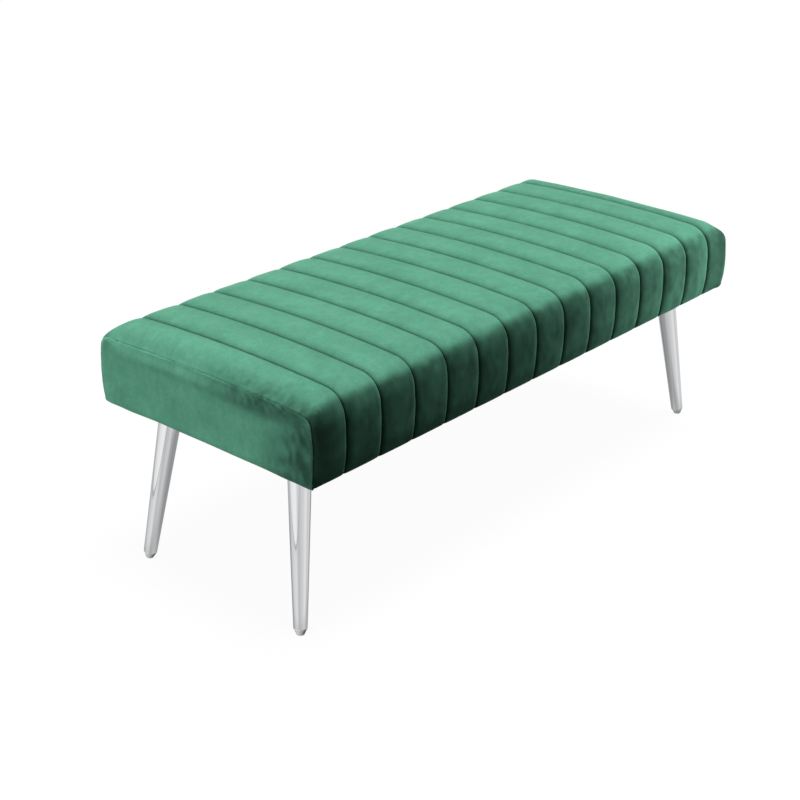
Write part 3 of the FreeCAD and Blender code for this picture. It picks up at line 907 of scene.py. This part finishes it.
for side, end in ((-1, "left"), (1, "right")):
    for face, place in ((-1, "front"), (1, "back")):
        foot, way = leg_axis(side, face)[:2]
        corner = place + "_" + end
        tube = turned("chrome_leg_" + corner, foot, way, tube_profile(), top=plate_low)
        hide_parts("leg_" + corner + "_tube")
        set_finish(tube, "chrome")
        tip = glide("glide_" + corner, foot, way)
        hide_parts("leg_" + corner + "_glide")
        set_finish(tip, "glide_plastic")
print("legs and glides made")

# %% [markdown]
# ## Wadding under the velvet
# A thin fleece of polyester wraps the foam and rounds off everything under the cover. It
# follows the cover two or three millimetres further in, so the cover's own rows, drawn in
# along their normals, give its shape.

# %% Wrap the wadding
wadding_gap = 2.4 * mm
wadding_thickness = 4.5 * mm
kept_rows = [k for k in range(len(rows)) if on_seam[k] or k % 3 == 0]


def make_wadding():
    """The fleece, from about every third row of the cover."""
    skin = (cover_points - cover_normals * wadding_gap).reshape(len(rows), len(section), 3)
    vertices = skin[kept_rows].reshape(-1, 3)
    wrap = add_piece("wadding_fleece", vertices, grid_faces(len(kept_rows), len(section), flip=True))
    thicken(wrap, wadding_thickness)
    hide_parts("wadding_wrap")
    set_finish(wrap, "wadding")
    print("wadding of", len(kept_rows), "rows")


make_wadding()

# %% [markdown]
# ## Foam
# The seat foam and the strips on the frame's sides are cut blocks, pressed a little out of
# shape by the tight cover. The frame's own solids are remeshed into small even faces and
# their edges are relaxed, which rounds them as the cover's pull does.

# %% Soften the foam blocks
foam_voxel = 6.0 * mm
foam_relaxing = 6
foam_nodes = {
    "seat_foam": "foam_slab",
    "border_foam_front": "foam_strip_front", "border_foam_back": "foam_strip_back",
    "border_foam_left": "foam_strip_left", "border_foam_right": "foam_strip_right",
}


def softened(node_name, name):
    """A soft copy of a frame solid: evenly remeshed, its edges relaxed."""
    source = frame["nodes"][node_name]
    mesh = source.data.copy()
    mesh.name = name
    block = bpy.data.objects.new(name, mesh)
    bpy.context.scene.collection.objects.link(block)
    remesh = block.modifiers.new("even faces", "REMESH")
    remesh.mode = "VOXEL"
    remesh.voxel_size = foam_voxel
    remesh.use_smooth_shade = True
    relax = block.modifiers.new("relaxed edges", "SMOOTH")
    relax.factor = 0.5
    relax.iterations = foam_relaxing
    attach(block, "root")
    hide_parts(node_name)
    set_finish(block, "foam")


for node_name, name in foam_nodes.items():
    softened(node_name, name)
print("foam blocks made:", len(foam_nodes))

# %% [markdown]
# ## The dust cover
# A sheet of black spun-bonded cloth is stapled under the frame to hide its inside and keep
# dust out. It is cut out round each leg's plate and hangs a few millimetres slack between its
# edges. Its shape is simple enough for a formula: a grid that leaves the cut-outs open and
# sinks with the distance to the nearest held edge.

# %% Make the dust cover
dust_low, dust_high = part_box("dust_cover")
leg_gap = 2.0 * mm
dust_slack = 3.5 * mm
dust_slack_reach = 110.0 * mm
dust_wave = 130.0 * mm
dust_wave_height = 0.8 * mm
dust_thickness = 0.5 * mm
dust_spacing = 12.0 * mm
plate_half = (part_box("leg_front_left_plate")[1].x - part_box("leg_front_left_plate")[0].x) / 2
cut_half = plate_half + leg_gap


def cut_lines(low, high, centre):
    """Grid places from low to high with lines on both cut-outs' edges."""
    stops = [low, -centre - cut_half, -centre + cut_half, centre - cut_half, centre + cut_half, high]
    places = [low]
    for a, b in zip(stops, stops[1:]):
        count = max(1, round((b - a) / dust_spacing))
        places += [a + (b - a) * k / count for k in range(1, count + 1)]
    return places


def in_cut_out(x, y):
    """Whether a place lies in the opening round a leg's plate."""
    return abs(abs(x) - leg_x) < cut_half and abs(abs(y) - leg_y) < cut_half


def make_dust_cover():
    """The stapled sheet."""
    xs = cut_lines(dust_low.x, dust_high.x, leg_x)
    ys = cut_lines(dust_low.y, dust_high.y, leg_y)
    vertices = []
    for x in xs:
        for y in ys:
            edge = min(dust_high.x - abs(x), dust_high.y - abs(y))
            near_leg = max(abs(abs(x) - leg_x), abs(abs(y) - leg_y)) - cut_half
            free = smooth(min(edge, max(near_leg, 0.0)) / dust_slack_reach)
            wave = noise.noise(Vector((x, y, 0.0)) / dust_wave) * dust_wave_height
            vertices.append((x, y, dust_low.z - (dust_slack + wave) * free))
    faces = []
    for i in range(len(xs) - 1):
        for j in range(len(ys) - 1):
            if not in_cut_out((xs[i] + xs[i + 1]) / 2, (ys[j] + ys[j + 1]) / 2):
                a = i * len(ys) + j
                faces.append((a, a + 1, a + len(ys) + 1, a + len(ys)))
    cloth = add_piece("dust_cloth", vertices, faces)
    thicken(cloth, dust_thickness, offset=1.0)
    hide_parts("dust_cover")
    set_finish(cloth, "dust_cloth")


make_dust_cover()

# %% [markdown]
# ## Colours and node helpers
# Colours are written as the hex values a screen shows, and one function turns them to the
# linear values that shaders use. Another adds a node with its settings and links. The patterns
# are worked out from a point's place in metres, so their scales are real sizes and no picture
# or unwrapping is needed; short helpers name the few nodes that every material here uses.

# %% Colour and node helpers
def colour(hex_code):
    """A screen colour such as 2f8f6a as linear red, green, blue and alpha."""
    values = [int(hex_code[k:k + 2], 16) / 255 for k in (0, 2, 4)]
    linear = [v / 12.92 if v <= 0.04045 else ((v + 0.055) / 1.055) ** 2.4 for v in values]
    return (*linear, 1.0)


def add_node(material, kind, settings=None, inputs=None):
    """Adds a node. Settings are its properties; inputs, by name or number, are values or sockets."""
    node = material.node_tree.nodes.new(kind)
    for key, value in (settings or {}).items():
        setattr(node, key, value)
    for key, value in (inputs or {}).items():
        if isinstance(value, bpy.types.NodeSocket):
            material.node_tree.links.new(value, node.inputs[key])
        else:
            node.inputs[key].default_value = value
    return node


def new_material(name):
    """A material with no nodes yet."""
    material = bpy.data.materials.new(name)
    material.use_nodes = True
    material.node_tree.nodes.clear()
    return material


def surface(material, shader):
    """Makes a shader the material's surface."""
    add_node(material, "ShaderNodeOutputMaterial", None, {"Surface": shader.outputs[0]})
    material.diffuse_color = (0.5, 0.5, 0.5, 1.0)


def finish(material, inputs):
    """Ends a material in a Principled shader with these inputs."""
    surface(material, add_node(material, "ShaderNodeBsdfPrincipled", None, inputs))
    return material


def ramp(material, factor, *stops):
    """A colour ramp fed by factor; each stop is a place from 0 to 1 and its value or hex colour."""
    node = add_node(material, "ShaderNodeValToRGB", None, {"Fac": factor})
    elements = node.color_ramp.elements
    for k, (place, value) in enumerate(stops):
        element = elements[k] if k < 2 else elements.new(place)
        element.position = place
        element.color = colour(value) if isinstance(value, str) else (value, value, value, 1.0)
    return node.outputs["Color"]


# %% Pattern helpers
middle_of_noise = (0.3, 0.7)  # most of a noise pattern's values lie between these


def position(material):
    """A surface point's place in metres."""
    return add_node(material, "ShaderNodeNewGeometry").outputs["Position"]


def drawn_out(material, place, scales):
    """The place with its axes scaled, which draws a pattern out along the axes under 1."""
    scaled = add_node(material, "ShaderNodeVectorMath", {"operation": "MULTIPLY"}, {0: place, 1: scales})
    return scaled.outputs[0]


def cloud(material, place, size, detail, roughness=0.5, distortion=0.0):
    """Soft noise around 0.5 whose lumps are about size across."""
    inputs = {"Vector": place, "Scale": 1 / size, "Detail": detail, "Roughness": roughness,
              "Distortion": distortion}
    return add_node(material, "ShaderNodeTexNoise", None, inputs).outputs["Fac"]


def mapped(material, value, old, new):
    """A value moved from one range to another and kept inside it."""
    ranges = {0: value, 1: old[0], 2: old[1], 3: new[0], 4: new[1]}
    return add_node(material, "ShaderNodeMapRange", None, ranges).outputs[0]


def times(material, tone, factor):
    """A colour made lighter or darker by a factor."""
    scaled = add_node(material, "ShaderNodeVectorMath", {"operation": "SCALE"}, {0: tone, 3: factor})
    return scaled.outputs[0]


def relief(material, height, strength, depth):
    """The surface's normal, tilted by a pattern of heights."""
    inputs = {"Strength": strength, "Distance": depth, "Height": height}
    return add_node(material, "ShaderNodeBump", None, inputs).outputs["Normal"]


# %% [markdown]
# ## Polyester velvet
# Velvet is a woven cloth whose cut pile stands up about a millimetre. Looked at along the pile it is deep
# and dark; across it, the fibre tips catch light and go pale. That is a Principled shader with little gloss
# and a sheen whose weight follows the painted light and shade stored at each point above, which also darkens
# or lightens the colour. Patches, strokes and flecks of nap, each at its own scale, are laid over it, so
# that the cloth isn't one flat green.

# %% Velvet
nap_patch = 60.0 * mm
nap_stroke = 14.0 * mm
nap_fleck = 6.0 * mm
pile_spacing = 1.6 * mm  # real tufts stand 0.3 mm apart, too fine to show here
pile_height = 0.4 * mm
sheen_share = 0.6


def make_velvet():
    """Green velvet whose colour and sheen follow the painted light and shade at each point."""
    velvet = new_material("polyester velvet, emerald")
    place = position(velvet)
    # The painted light and shade stored at each point.
    lie = add_node(velvet, "ShaderNodeAttribute", {"attribute_name": "painted_shading_map"}).outputs["Fac"]
    patches = cloud(velvet, place, nap_patch, 3.0, 0.6)
    strokes = cloud(velvet, drawn_out(velvet, place, (1.0, 1.0, 0.45)), nap_stroke, 4.0, 0.65)
    flecks = cloud(velvet, place, nap_fleck, 3.0, 0.7)
    tufts = cloud(velvet, place, pile_spacing, 2.0, 0.6)
    tone = ramp(velvet, patches, (0.3, "55947b"), (0.5, "5b9b82"), (0.7, "61a288"))
    tone = times(velvet, tone, lie)
    for pattern, strength in ((tufts, (0.9, 1.08)), (flecks, (0.93, 1.05)), (strokes, (0.9, 1.08))):
        tone = times(velvet, tone, mapped(velvet, pattern, middle_of_noise, strength))
    # The sheen's weight follows the painted light and shade.
    bloom = add_node(velvet, "ShaderNodeMath", {"operation": "MULTIPLY", "use_clamp": True},
                     {0: lie, 1: sheen_share})
    return finish(velvet, {
        "Base Color": tone, "Roughness": 0.8, "IOR": 1.5, "Specular IOR Level": 0.05,
        "Normal": relief(velvet, tufts, 0.35, pile_height),
        "Sheen Weight": bloom.outputs[0], "Sheen Roughness": 0.42, "Sheen Tint": colour("8dd0ac")})


velvet = make_velvet()
print("velvet's tufts", round(pile_spacing / mm, 1), "mm apart")

# %% [markdown]
# ## Chromed steel and plated hardware
# Chrome plate is a mirror with a slightly cool grey of its own. Polished tube is never
# perfectly even, so a faint long ripple bends its reflections and wiping leaves some of it a
# little duller. The plates, bolts, tee nuts, screws and staples are zinc plated: duller, and
# faintly clouded.

# %% Metals
ripple_length = 14.0 * mm
ripple_height = 0.3 * mm
wiped_patch = 22.0 * mm
zinc_patch = 3.0 * mm


def make_chrome():
    """A mirror with a faint long ripple."""
    chrome = new_material("chromed steel tube")
    place = position(chrome)
    ripple = cloud(chrome, drawn_out(chrome, place, (1.0, 1.0, 0.12)), ripple_length, 1.0)
    polish = mapped(chrome, cloud(chrome, place, wiped_patch, 4.0), (0.3, 0.8), (0.03, 0.09))
    return finish(chrome, {"Base Color": colour("dfe0e2"), "Metallic": 1.0, "Roughness": polish,
                           "Normal": relief(chrome, ripple, 0.12, ripple_height)})


def make_zinc():
    """Dull grey plating with soft clouds."""
    zinc = new_material("zinc-plated steel")
    clouding = cloud(zinc, position(zinc), zinc_patch, 3.0)
    tone = ramp(zinc, clouding, (0.3, "a9adb3"), (0.7, "c6c8ca"))
    dull = mapped(zinc, clouding, middle_of_noise, (0.28, 0.42))
    return finish(zinc, {"Base Color": tone, "Metallic": 1.0, "Roughness": dull})


chrome = make_chrome()
zinc = make_zinc()

# %% [markdown]
# ## Wood
# The wood is hidden in use, but a cut-open view shows it. Pine is pale with long grain, and
# plywood shows its rotary-cut face and, at its edges, its plies. Noise drawn out along the
# seat gives the grain, because the boards were sawn along it.

# %% Pine and plywood
pine_grain = 5.0 * mm
pine_grain_depth = 0.15 * mm
ply_grain = 9.0 * mm
ply_thickness = 2.4 * mm


def make_pine():
    """Pale planed wood with long grain."""
    pine = new_material("planed pine")
    grain = cloud(pine, drawn_out(pine, position(pine), (0.08, 1.0, 1.0)), pine_grain, 4.0, distortion=0.6)
    tone = ramp(pine, grain, (0.3, "c79a63"), (0.5, "dcb984"), (0.7, "e9cfa2"))
    return finish(pine, {"Base Color": tone, "Roughness": 0.62, "IOR": 1.5,
                         "Normal": relief(pine, grain, 0.3, pine_grain_depth)})


def make_plywood():
    """A wavy face grain, banded by height so that the edges show plies."""
    plywood = new_material("birch plywood")
    place = position(plywood)
    height = add_node(plywood, "ShaderNodeSeparateXYZ", None, {"Vector": place}).outputs["Z"]
    ply = add_node(plywood, "ShaderNodeMath", {"operation": "PINGPONG"}, {0: height, 1: ply_thickness})
    grain = cloud(plywood, drawn_out(plywood, place, (0.1, 1.0, 1.0)), ply_grain, 4.0, distortion=1.2)
    face = ramp(plywood, grain, (0.3, "c9a878"), (0.7, "dfc79d"))
    edge = mapped(plywood, ply.outputs[0], (0.0, ply_thickness), (0.8, 1.0))
    return finish(plywood, {"Base Color": times(plywood, face, edge), "Roughness": 0.6, "IOR": 1.5})


pine = make_pine()
plywood = make_plywood()

# %% [markdown]
# ## Foam, wadding, dust cloth and glide plastic
# Foam is an open-celled cream, wadding a white fibre fleece, and the dust cover a thin black
# spun-bonded polypropylene. All three are made of fine cells or fibres, so one function makes
# them from a cell pattern at different sizes. The glides are moulded polypropylene, a pale
# grey with a soft gloss.

# %% Cellular stuffs and plastic
plastic_patch = 6.0 * mm


def make_cellular(name, dark, light, cell, depth, roughness):
    """An open or fibrous surface: fine cells or fibres in two tones, with relief."""
    stuff = new_material(name)
    place = position(stuff)
    cells = add_node(stuff, "ShaderNodeTexVoronoi", None, {"Vector": place, "Scale": 1 / cell})
    both = add_node(stuff, "ShaderNodeMath", {"operation": "MULTIPLY_ADD"},
                    {0: cloud(stuff, place, 12 * cell, 3.0), 1: 0.6, 2: cells.outputs["Distance"]})
    tone = ramp(stuff, both.outputs[0], (0.25, dark), (0.9, light))
    return finish(stuff, {"Base Color": tone, "Roughness": roughness, "IOR": 1.5,
                          "Normal": relief(stuff, cells.outputs["Distance"], 0.5, depth)})


def make_glide_plastic():
    """Pale grey plastic with a soft gloss."""
    plastic = new_material("moulded polypropylene, pale grey")
    clouding = cloud(plastic, position(plastic), plastic_patch, 3.0)
    tone = ramp(plastic, clouding, (0.3, "e3e4e4"), (0.7, "efefef"))
    return finish(plastic, {"Base Color": tone, "Roughness": 0.38, "IOR": 1.49})


foam = make_cellular("polyurethane foam, cut", "c9b98c", "efe4c0", 1.2 * mm, 0.4 * mm, 0.9)
wadding = make_cellular("polyester wadding", "d9dad8", "fafaf8", 2.5 * mm, 0.8 * mm, 0.95)
dust_cloth = make_cellular("polypropylene non-woven, black", "0e0e10", "232326", 1.4 * mm, 0.1 * mm, 0.75)
glide_plastic = make_glide_plastic()

# %% [markdown]
# ## Give every piece its finish
# The wood and hardware keep their meshes from the frame and only get a better material, which
# goes by the record's slot for each node. New pieces are dressed by the slot they were given.

# %% Dress the pieces
finishes = {
    "velvet": velvet, "dust_cloth": dust_cloth, "wadding": wadding, "foam": foam,
    "plywood": plywood, "pine": pine, "chrome": chrome, "zinc_steel": zinc,
    "glide_plastic": glide_plastic,
}
slot_of = {row["node"]: row["material_slot"] for row in frame["record"]["subparts"]}
for name, node in frame["nodes"].items():
    node.data.materials.clear()
    node.data.materials.append(finishes[slot_of[name]])
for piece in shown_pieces():
    if piece.get("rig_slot"):
        piece.data.materials.clear()
        piece.data.materials.append(finishes[piece["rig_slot"]])

# %% [markdown]
# ## The floor
# The bench was photographed on white paper. The camera sees the floor glow white with a faint
# shadow, and the cloth sees it dim, so that it throws little light up into the shaded front.
# Chrome looks past the floor to the studio, apart from a painted dark strip and a painted shade under the
# bench, which only mirrors see and which a chromed leg shows as painted reflections. Light Path tells the
# shader which of these looks at it.

# %% Floor
floor_reach = 30.0
white_light = (1.0, 1.0, 1.0, 1.0)
paper_glow = 0.96
# Painted shade under the bench and a painted dark strip, seen only in mirrors.
shade_margin = (-0.12, 0.1)
shade_cover = 0.6
shade_light = 0.1
painted_strip_way = (-0.891, 0.454, 0.0)
painted_strip_range = (0.83, 1.08)
painted_strip_tones = ((0.0, 0.84), (0.36, 0.82), (0.48, 0.42), (0.62, 1.0))


def shade_under_bench(paper, place):
    """From 1 under the seat to 0 a little outside it."""
    split = add_node(paper, "ShaderNodeSeparateXYZ", None, {"Vector": place})
    shaded = []
    for axis, half in (("X", half_length), ("Y", half_depth)):
        away = add_node(paper, "ShaderNodeMath", {"operation": "ABSOLUTE"}, {0: split.outputs[axis]})
        ranges = {0: away.outputs[0], 1: half + shade_margin[0], 2: half + shade_margin[1], 3: 1.0, 4: 0.0}
        fall = add_node(paper, "ShaderNodeMapRange", {"interpolation_type": "SMOOTHSTEP"}, ranges)
        shaded.append(fall.outputs[0])
    both = add_node(paper, "ShaderNodeMath", {"operation": "MULTIPLY"}, {0: shaded[0], 1: shaded[1]})
    return both.outputs[0]


def mixed(material, share, first, second):
    """The first shader at share 0 and the second at 1."""
    inputs = {0: share, 1: first.outputs[0], 2: second.outputs[0]}
    return add_node(material, "ShaderNodeMixShader", None, inputs)


def to_camera(material):
    """1 for what the camera sees, also through something clear, and 0 for all other light."""
    seen = add_node(material, "ShaderNodeLightPath")
    ways = {0: seen.outputs["Is Camera Ray"], 1: seen.outputs["Is Transmission Ray"]}
    return add_node(material, "ShaderNodeMath", {"operation": "MAXIMUM"}, ways).outputs[0]


def to_mirrors(material):
    """1 for what mirrors reflect and 0 for all other light."""
    return add_node(material, "ShaderNodeLightPath").outputs["Is Glossy Ray"]


def make_paper():
    """Three surfaces in one: for the camera, for cloth and for mirrors."""
    paper = new_material("white studio paper")
    place = position(paper)
    dim = add_node(paper, "ShaderNodeBsdfDiffuse", None, {"Color": colour("3c3c3c")})
    pale = add_node(paper, "ShaderNodeBsdfDiffuse", None, {"Color": white_light})
    glow = add_node(paper, "ShaderNodeEmission", None, {"Color": white_light, "Strength": 1.0})
    lit = mixed(paper, to_camera(paper), dim, mixed(paper, paper_glow, pale, glow))
    # Painted shade under the bench, for mirrors only.
    covered = add_node(paper, "ShaderNodeMath", {"operation": "MULTIPLY"},
                       {0: shade_under_bench(paper, place), 1: shade_cover})
    # A painted dark strip across the floor, for mirrors only.
    off_painted_strip = add_node(paper, "ShaderNodeVectorMath", {"operation": "DOT_PRODUCT"},
                        {0: place, 1: painted_strip_way})
    past_painted_strip = mapped(paper, off_painted_strip.outputs["Value"], painted_strip_range, (0.0, 1.0))
    beyond = add_node(paper, "ShaderNodeBsdfTransparent", None,
                      {"Color": ramp(paper, past_painted_strip, *painted_strip_tones)})
    shade = add_node(paper, "ShaderNodeEmission", None, {"Color": white_light, "Strength": shade_light})
    reflected = mixed(paper, covered.outputs[0], beyond, shade)
    surface(paper, mixed(paper, to_mirrors(paper), lit, reflected))
    return paper


def make_floor():
    """One wide square of paper under the bench."""
    corners = [(x * floor_reach, y * floor_reach, 0.0) for x, y in ((-1, -1), (1, -1), (1, 1), (-1, 1))]
    mesh = bpy.data.meshes.new("studio floor")
    mesh.from_pydata(corners, [], [(0, 1, 2, 3)])
    mesh.materials.append(make_paper())
    floor = bpy.data.objects.new("studio_floor", mesh)
    bpy.context.scene.collection.objects.link(floor)


make_floor()
print("floor reaches", floor_reach, "m")

# %% [markdown]
# ## The studio round the bench
# Chrome shows the room more than itself. Pale walls with darker gaps between them, all round
# the bench, give each leg its long light and dark stripes. The cloth gets almost nothing from
# the walls, which leaves its light to the lamps.

# %% World
# Each stop is a share of the way round and how pale the wall is there. The way round starts
# behind the bench and goes by the left, the camera and the right.
wall_tones = (
    (0.0, 0.56), (0.16, 0.6), (0.2, 0.68), (0.25, 0.82), (0.37, 0.94), (0.41, 0.84),
    (0.44, 0.68), (0.46, 0.64), (0.52, 0.74), (0.6, 0.84), (0.65, 0.96), (0.69, 0.96),
    (0.75, 0.7), (0.79, 0.86), (0.86, 0.72), (1.0, 0.56))
wall_light = 1.2
light_on_cloth = 0.035
towards_camera = (-0.7071, -0.7071, 0.0)
right_of_camera = (0.7071, -0.7071, 0.0)


def make_world():
    """White to the camera, dim to cloth, and walls in pale and darker bands to mirrors."""
    world = bpy.data.worlds.new("studio")
    world.use_nodes = True
    world.node_tree.nodes.clear()
    bpy.context.scene.world = world
    way = add_node(world, "ShaderNodeTexCoord").outputs["Generated"]
    parts = []
    for axis in (right_of_camera, towards_camera):
        along = add_node(world, "ShaderNodeVectorMath", {"operation": "DOT_PRODUCT"}, {0: way, 1: axis})
        parts.append(along.outputs["Value"])
    round_about = add_node(world, "ShaderNodeMath", {"operation": "ARCTAN2"}, {0: parts[0], 1: parts[1]})
    share = mapped(world, round_about.outputs[0], (-math.pi, math.pi), (0.0, 1.0))
    bands = ramp(world, share, *wall_tones)
    walls = add_node(world, "ShaderNodeBackground", None, {"Color": bands, "Strength": wall_light})
    dim = add_node(world, "ShaderNodeBackground", None, {"Color": white_light, "Strength": light_on_cloth})
    white = add_node(world, "ShaderNodeBackground", None, {"Color": white_light, "Strength": 1.0})
    plain = mixed(world, to_camera(world), dim, white)
    whole = mixed(world, to_mirrors(world), plain, walls)
    add_node(world, "ShaderNodeOutputWorld", None, {"Surface": whole.outputs[0]})


make_world()
print("studio walls in", len(wall_tones), "steps")

# %% [markdown]
# ## Lamps
# The light comes from above and from the bench's left end, so the top is bright, the end is
# clear and the front lies in shade. Both are large far lamps, which light the whole length
# evenly and blur their shadows. A small softbox, its light kept narrow by a grid, lifts the
# front at the right.

# %% Lamps
def big_soft_lamp(name, shine, spread, strength):
    """A large far lamp: shine is the way its light travels, spread its width as an angle."""
    lamp = bpy.data.lights.new(name, "SUN")
    lamp.energy = strength
    lamp.angle = math.radians(spread)
    holder = bpy.data.objects.new(name, lamp)
    bpy.context.scene.collection.objects.link(holder)
    holder.rotation_euler = Vector(shine).to_track_quat("-Z", "Y").to_euler()


def softbox(name, place, aim, width, height, watts, fan):
    """A rectangular area lamp turned towards a point; fan is how wide its grid lets light spread."""
    lamp = bpy.data.lights.new(name, "AREA")
    lamp.shape = "RECTANGLE"
    lamp.size = width
    lamp.size_y = height
    lamp.energy = watts
    lamp.spread = math.radians(fan)
    holder = bpy.data.objects.new(name, lamp)
    bpy.context.scene.collection.objects.link(holder)
    holder.location = place
    holder.rotation_euler = (Vector(aim) - Vector(place)).to_track_quat("-Z", "Y").to_euler()


big_soft_lamp("key overhead", shine=(-0.1, 0.1, -1.0), spread=28, strength=3.2)
big_soft_lamp("light on the left end", shine=(1.0, -0.06, -0.2), spread=28, strength=2.4)
softbox("fill at the right front", place=(1.5, -1.4, 0.3), aim=(0.64, -0.25, 0.37),
        width=0.5, height=0.4, watts=1.15, fan=34)
print("three lamps set")

# %% [markdown]
# ## Camera
# The camera stands at the front left, above the seat, and looks down along the bench. Its
# place and angles were found by laying the seat's seams and the legs over the photograph's.
# Its axes are built from the yaw, the pitch and the small roll, which avoids Euler orders.

# %% Camera
camera_place = Vector((-2143.5, -1735.4, 1436.0)) * mm
camera_yaw = math.radians(49.4)
camera_pitch = math.radians(24.7)
camera_roll = math.radians(0.76)
focal_length = 70.8


def make_camera():
    """The photograph's camera, its axes worked out from its angles."""
    forward = Vector((math.sin(camera_yaw) * math.cos(camera_pitch),
                      math.cos(camera_yaw) * math.cos(camera_pitch), -math.sin(camera_pitch)))
    level = Vector((math.cos(camera_yaw), -math.sin(camera_yaw), 0.0))
    upright = level.cross(forward)
    right = level * math.cos(camera_roll) + upright * math.sin(camera_roll)
    up = upright * math.cos(camera_roll) - level * math.sin(camera_roll)
    lens = bpy.data.cameras.new("camera")
    lens.lens = focal_length
    lens.sensor_width = 36.0
    camera = bpy.data.objects.new("camera", lens)
    bpy.context.scene.collection.objects.link(camera)
    turn = Matrix((right, up, -forward)).transposed().to_4x4()
    camera.matrix_world = Matrix.Translation(camera_place) @ turn
    bpy.context.scene.camera = camera


make_camera()
bpy.context.scene.view_settings.view_transform = "Standard"
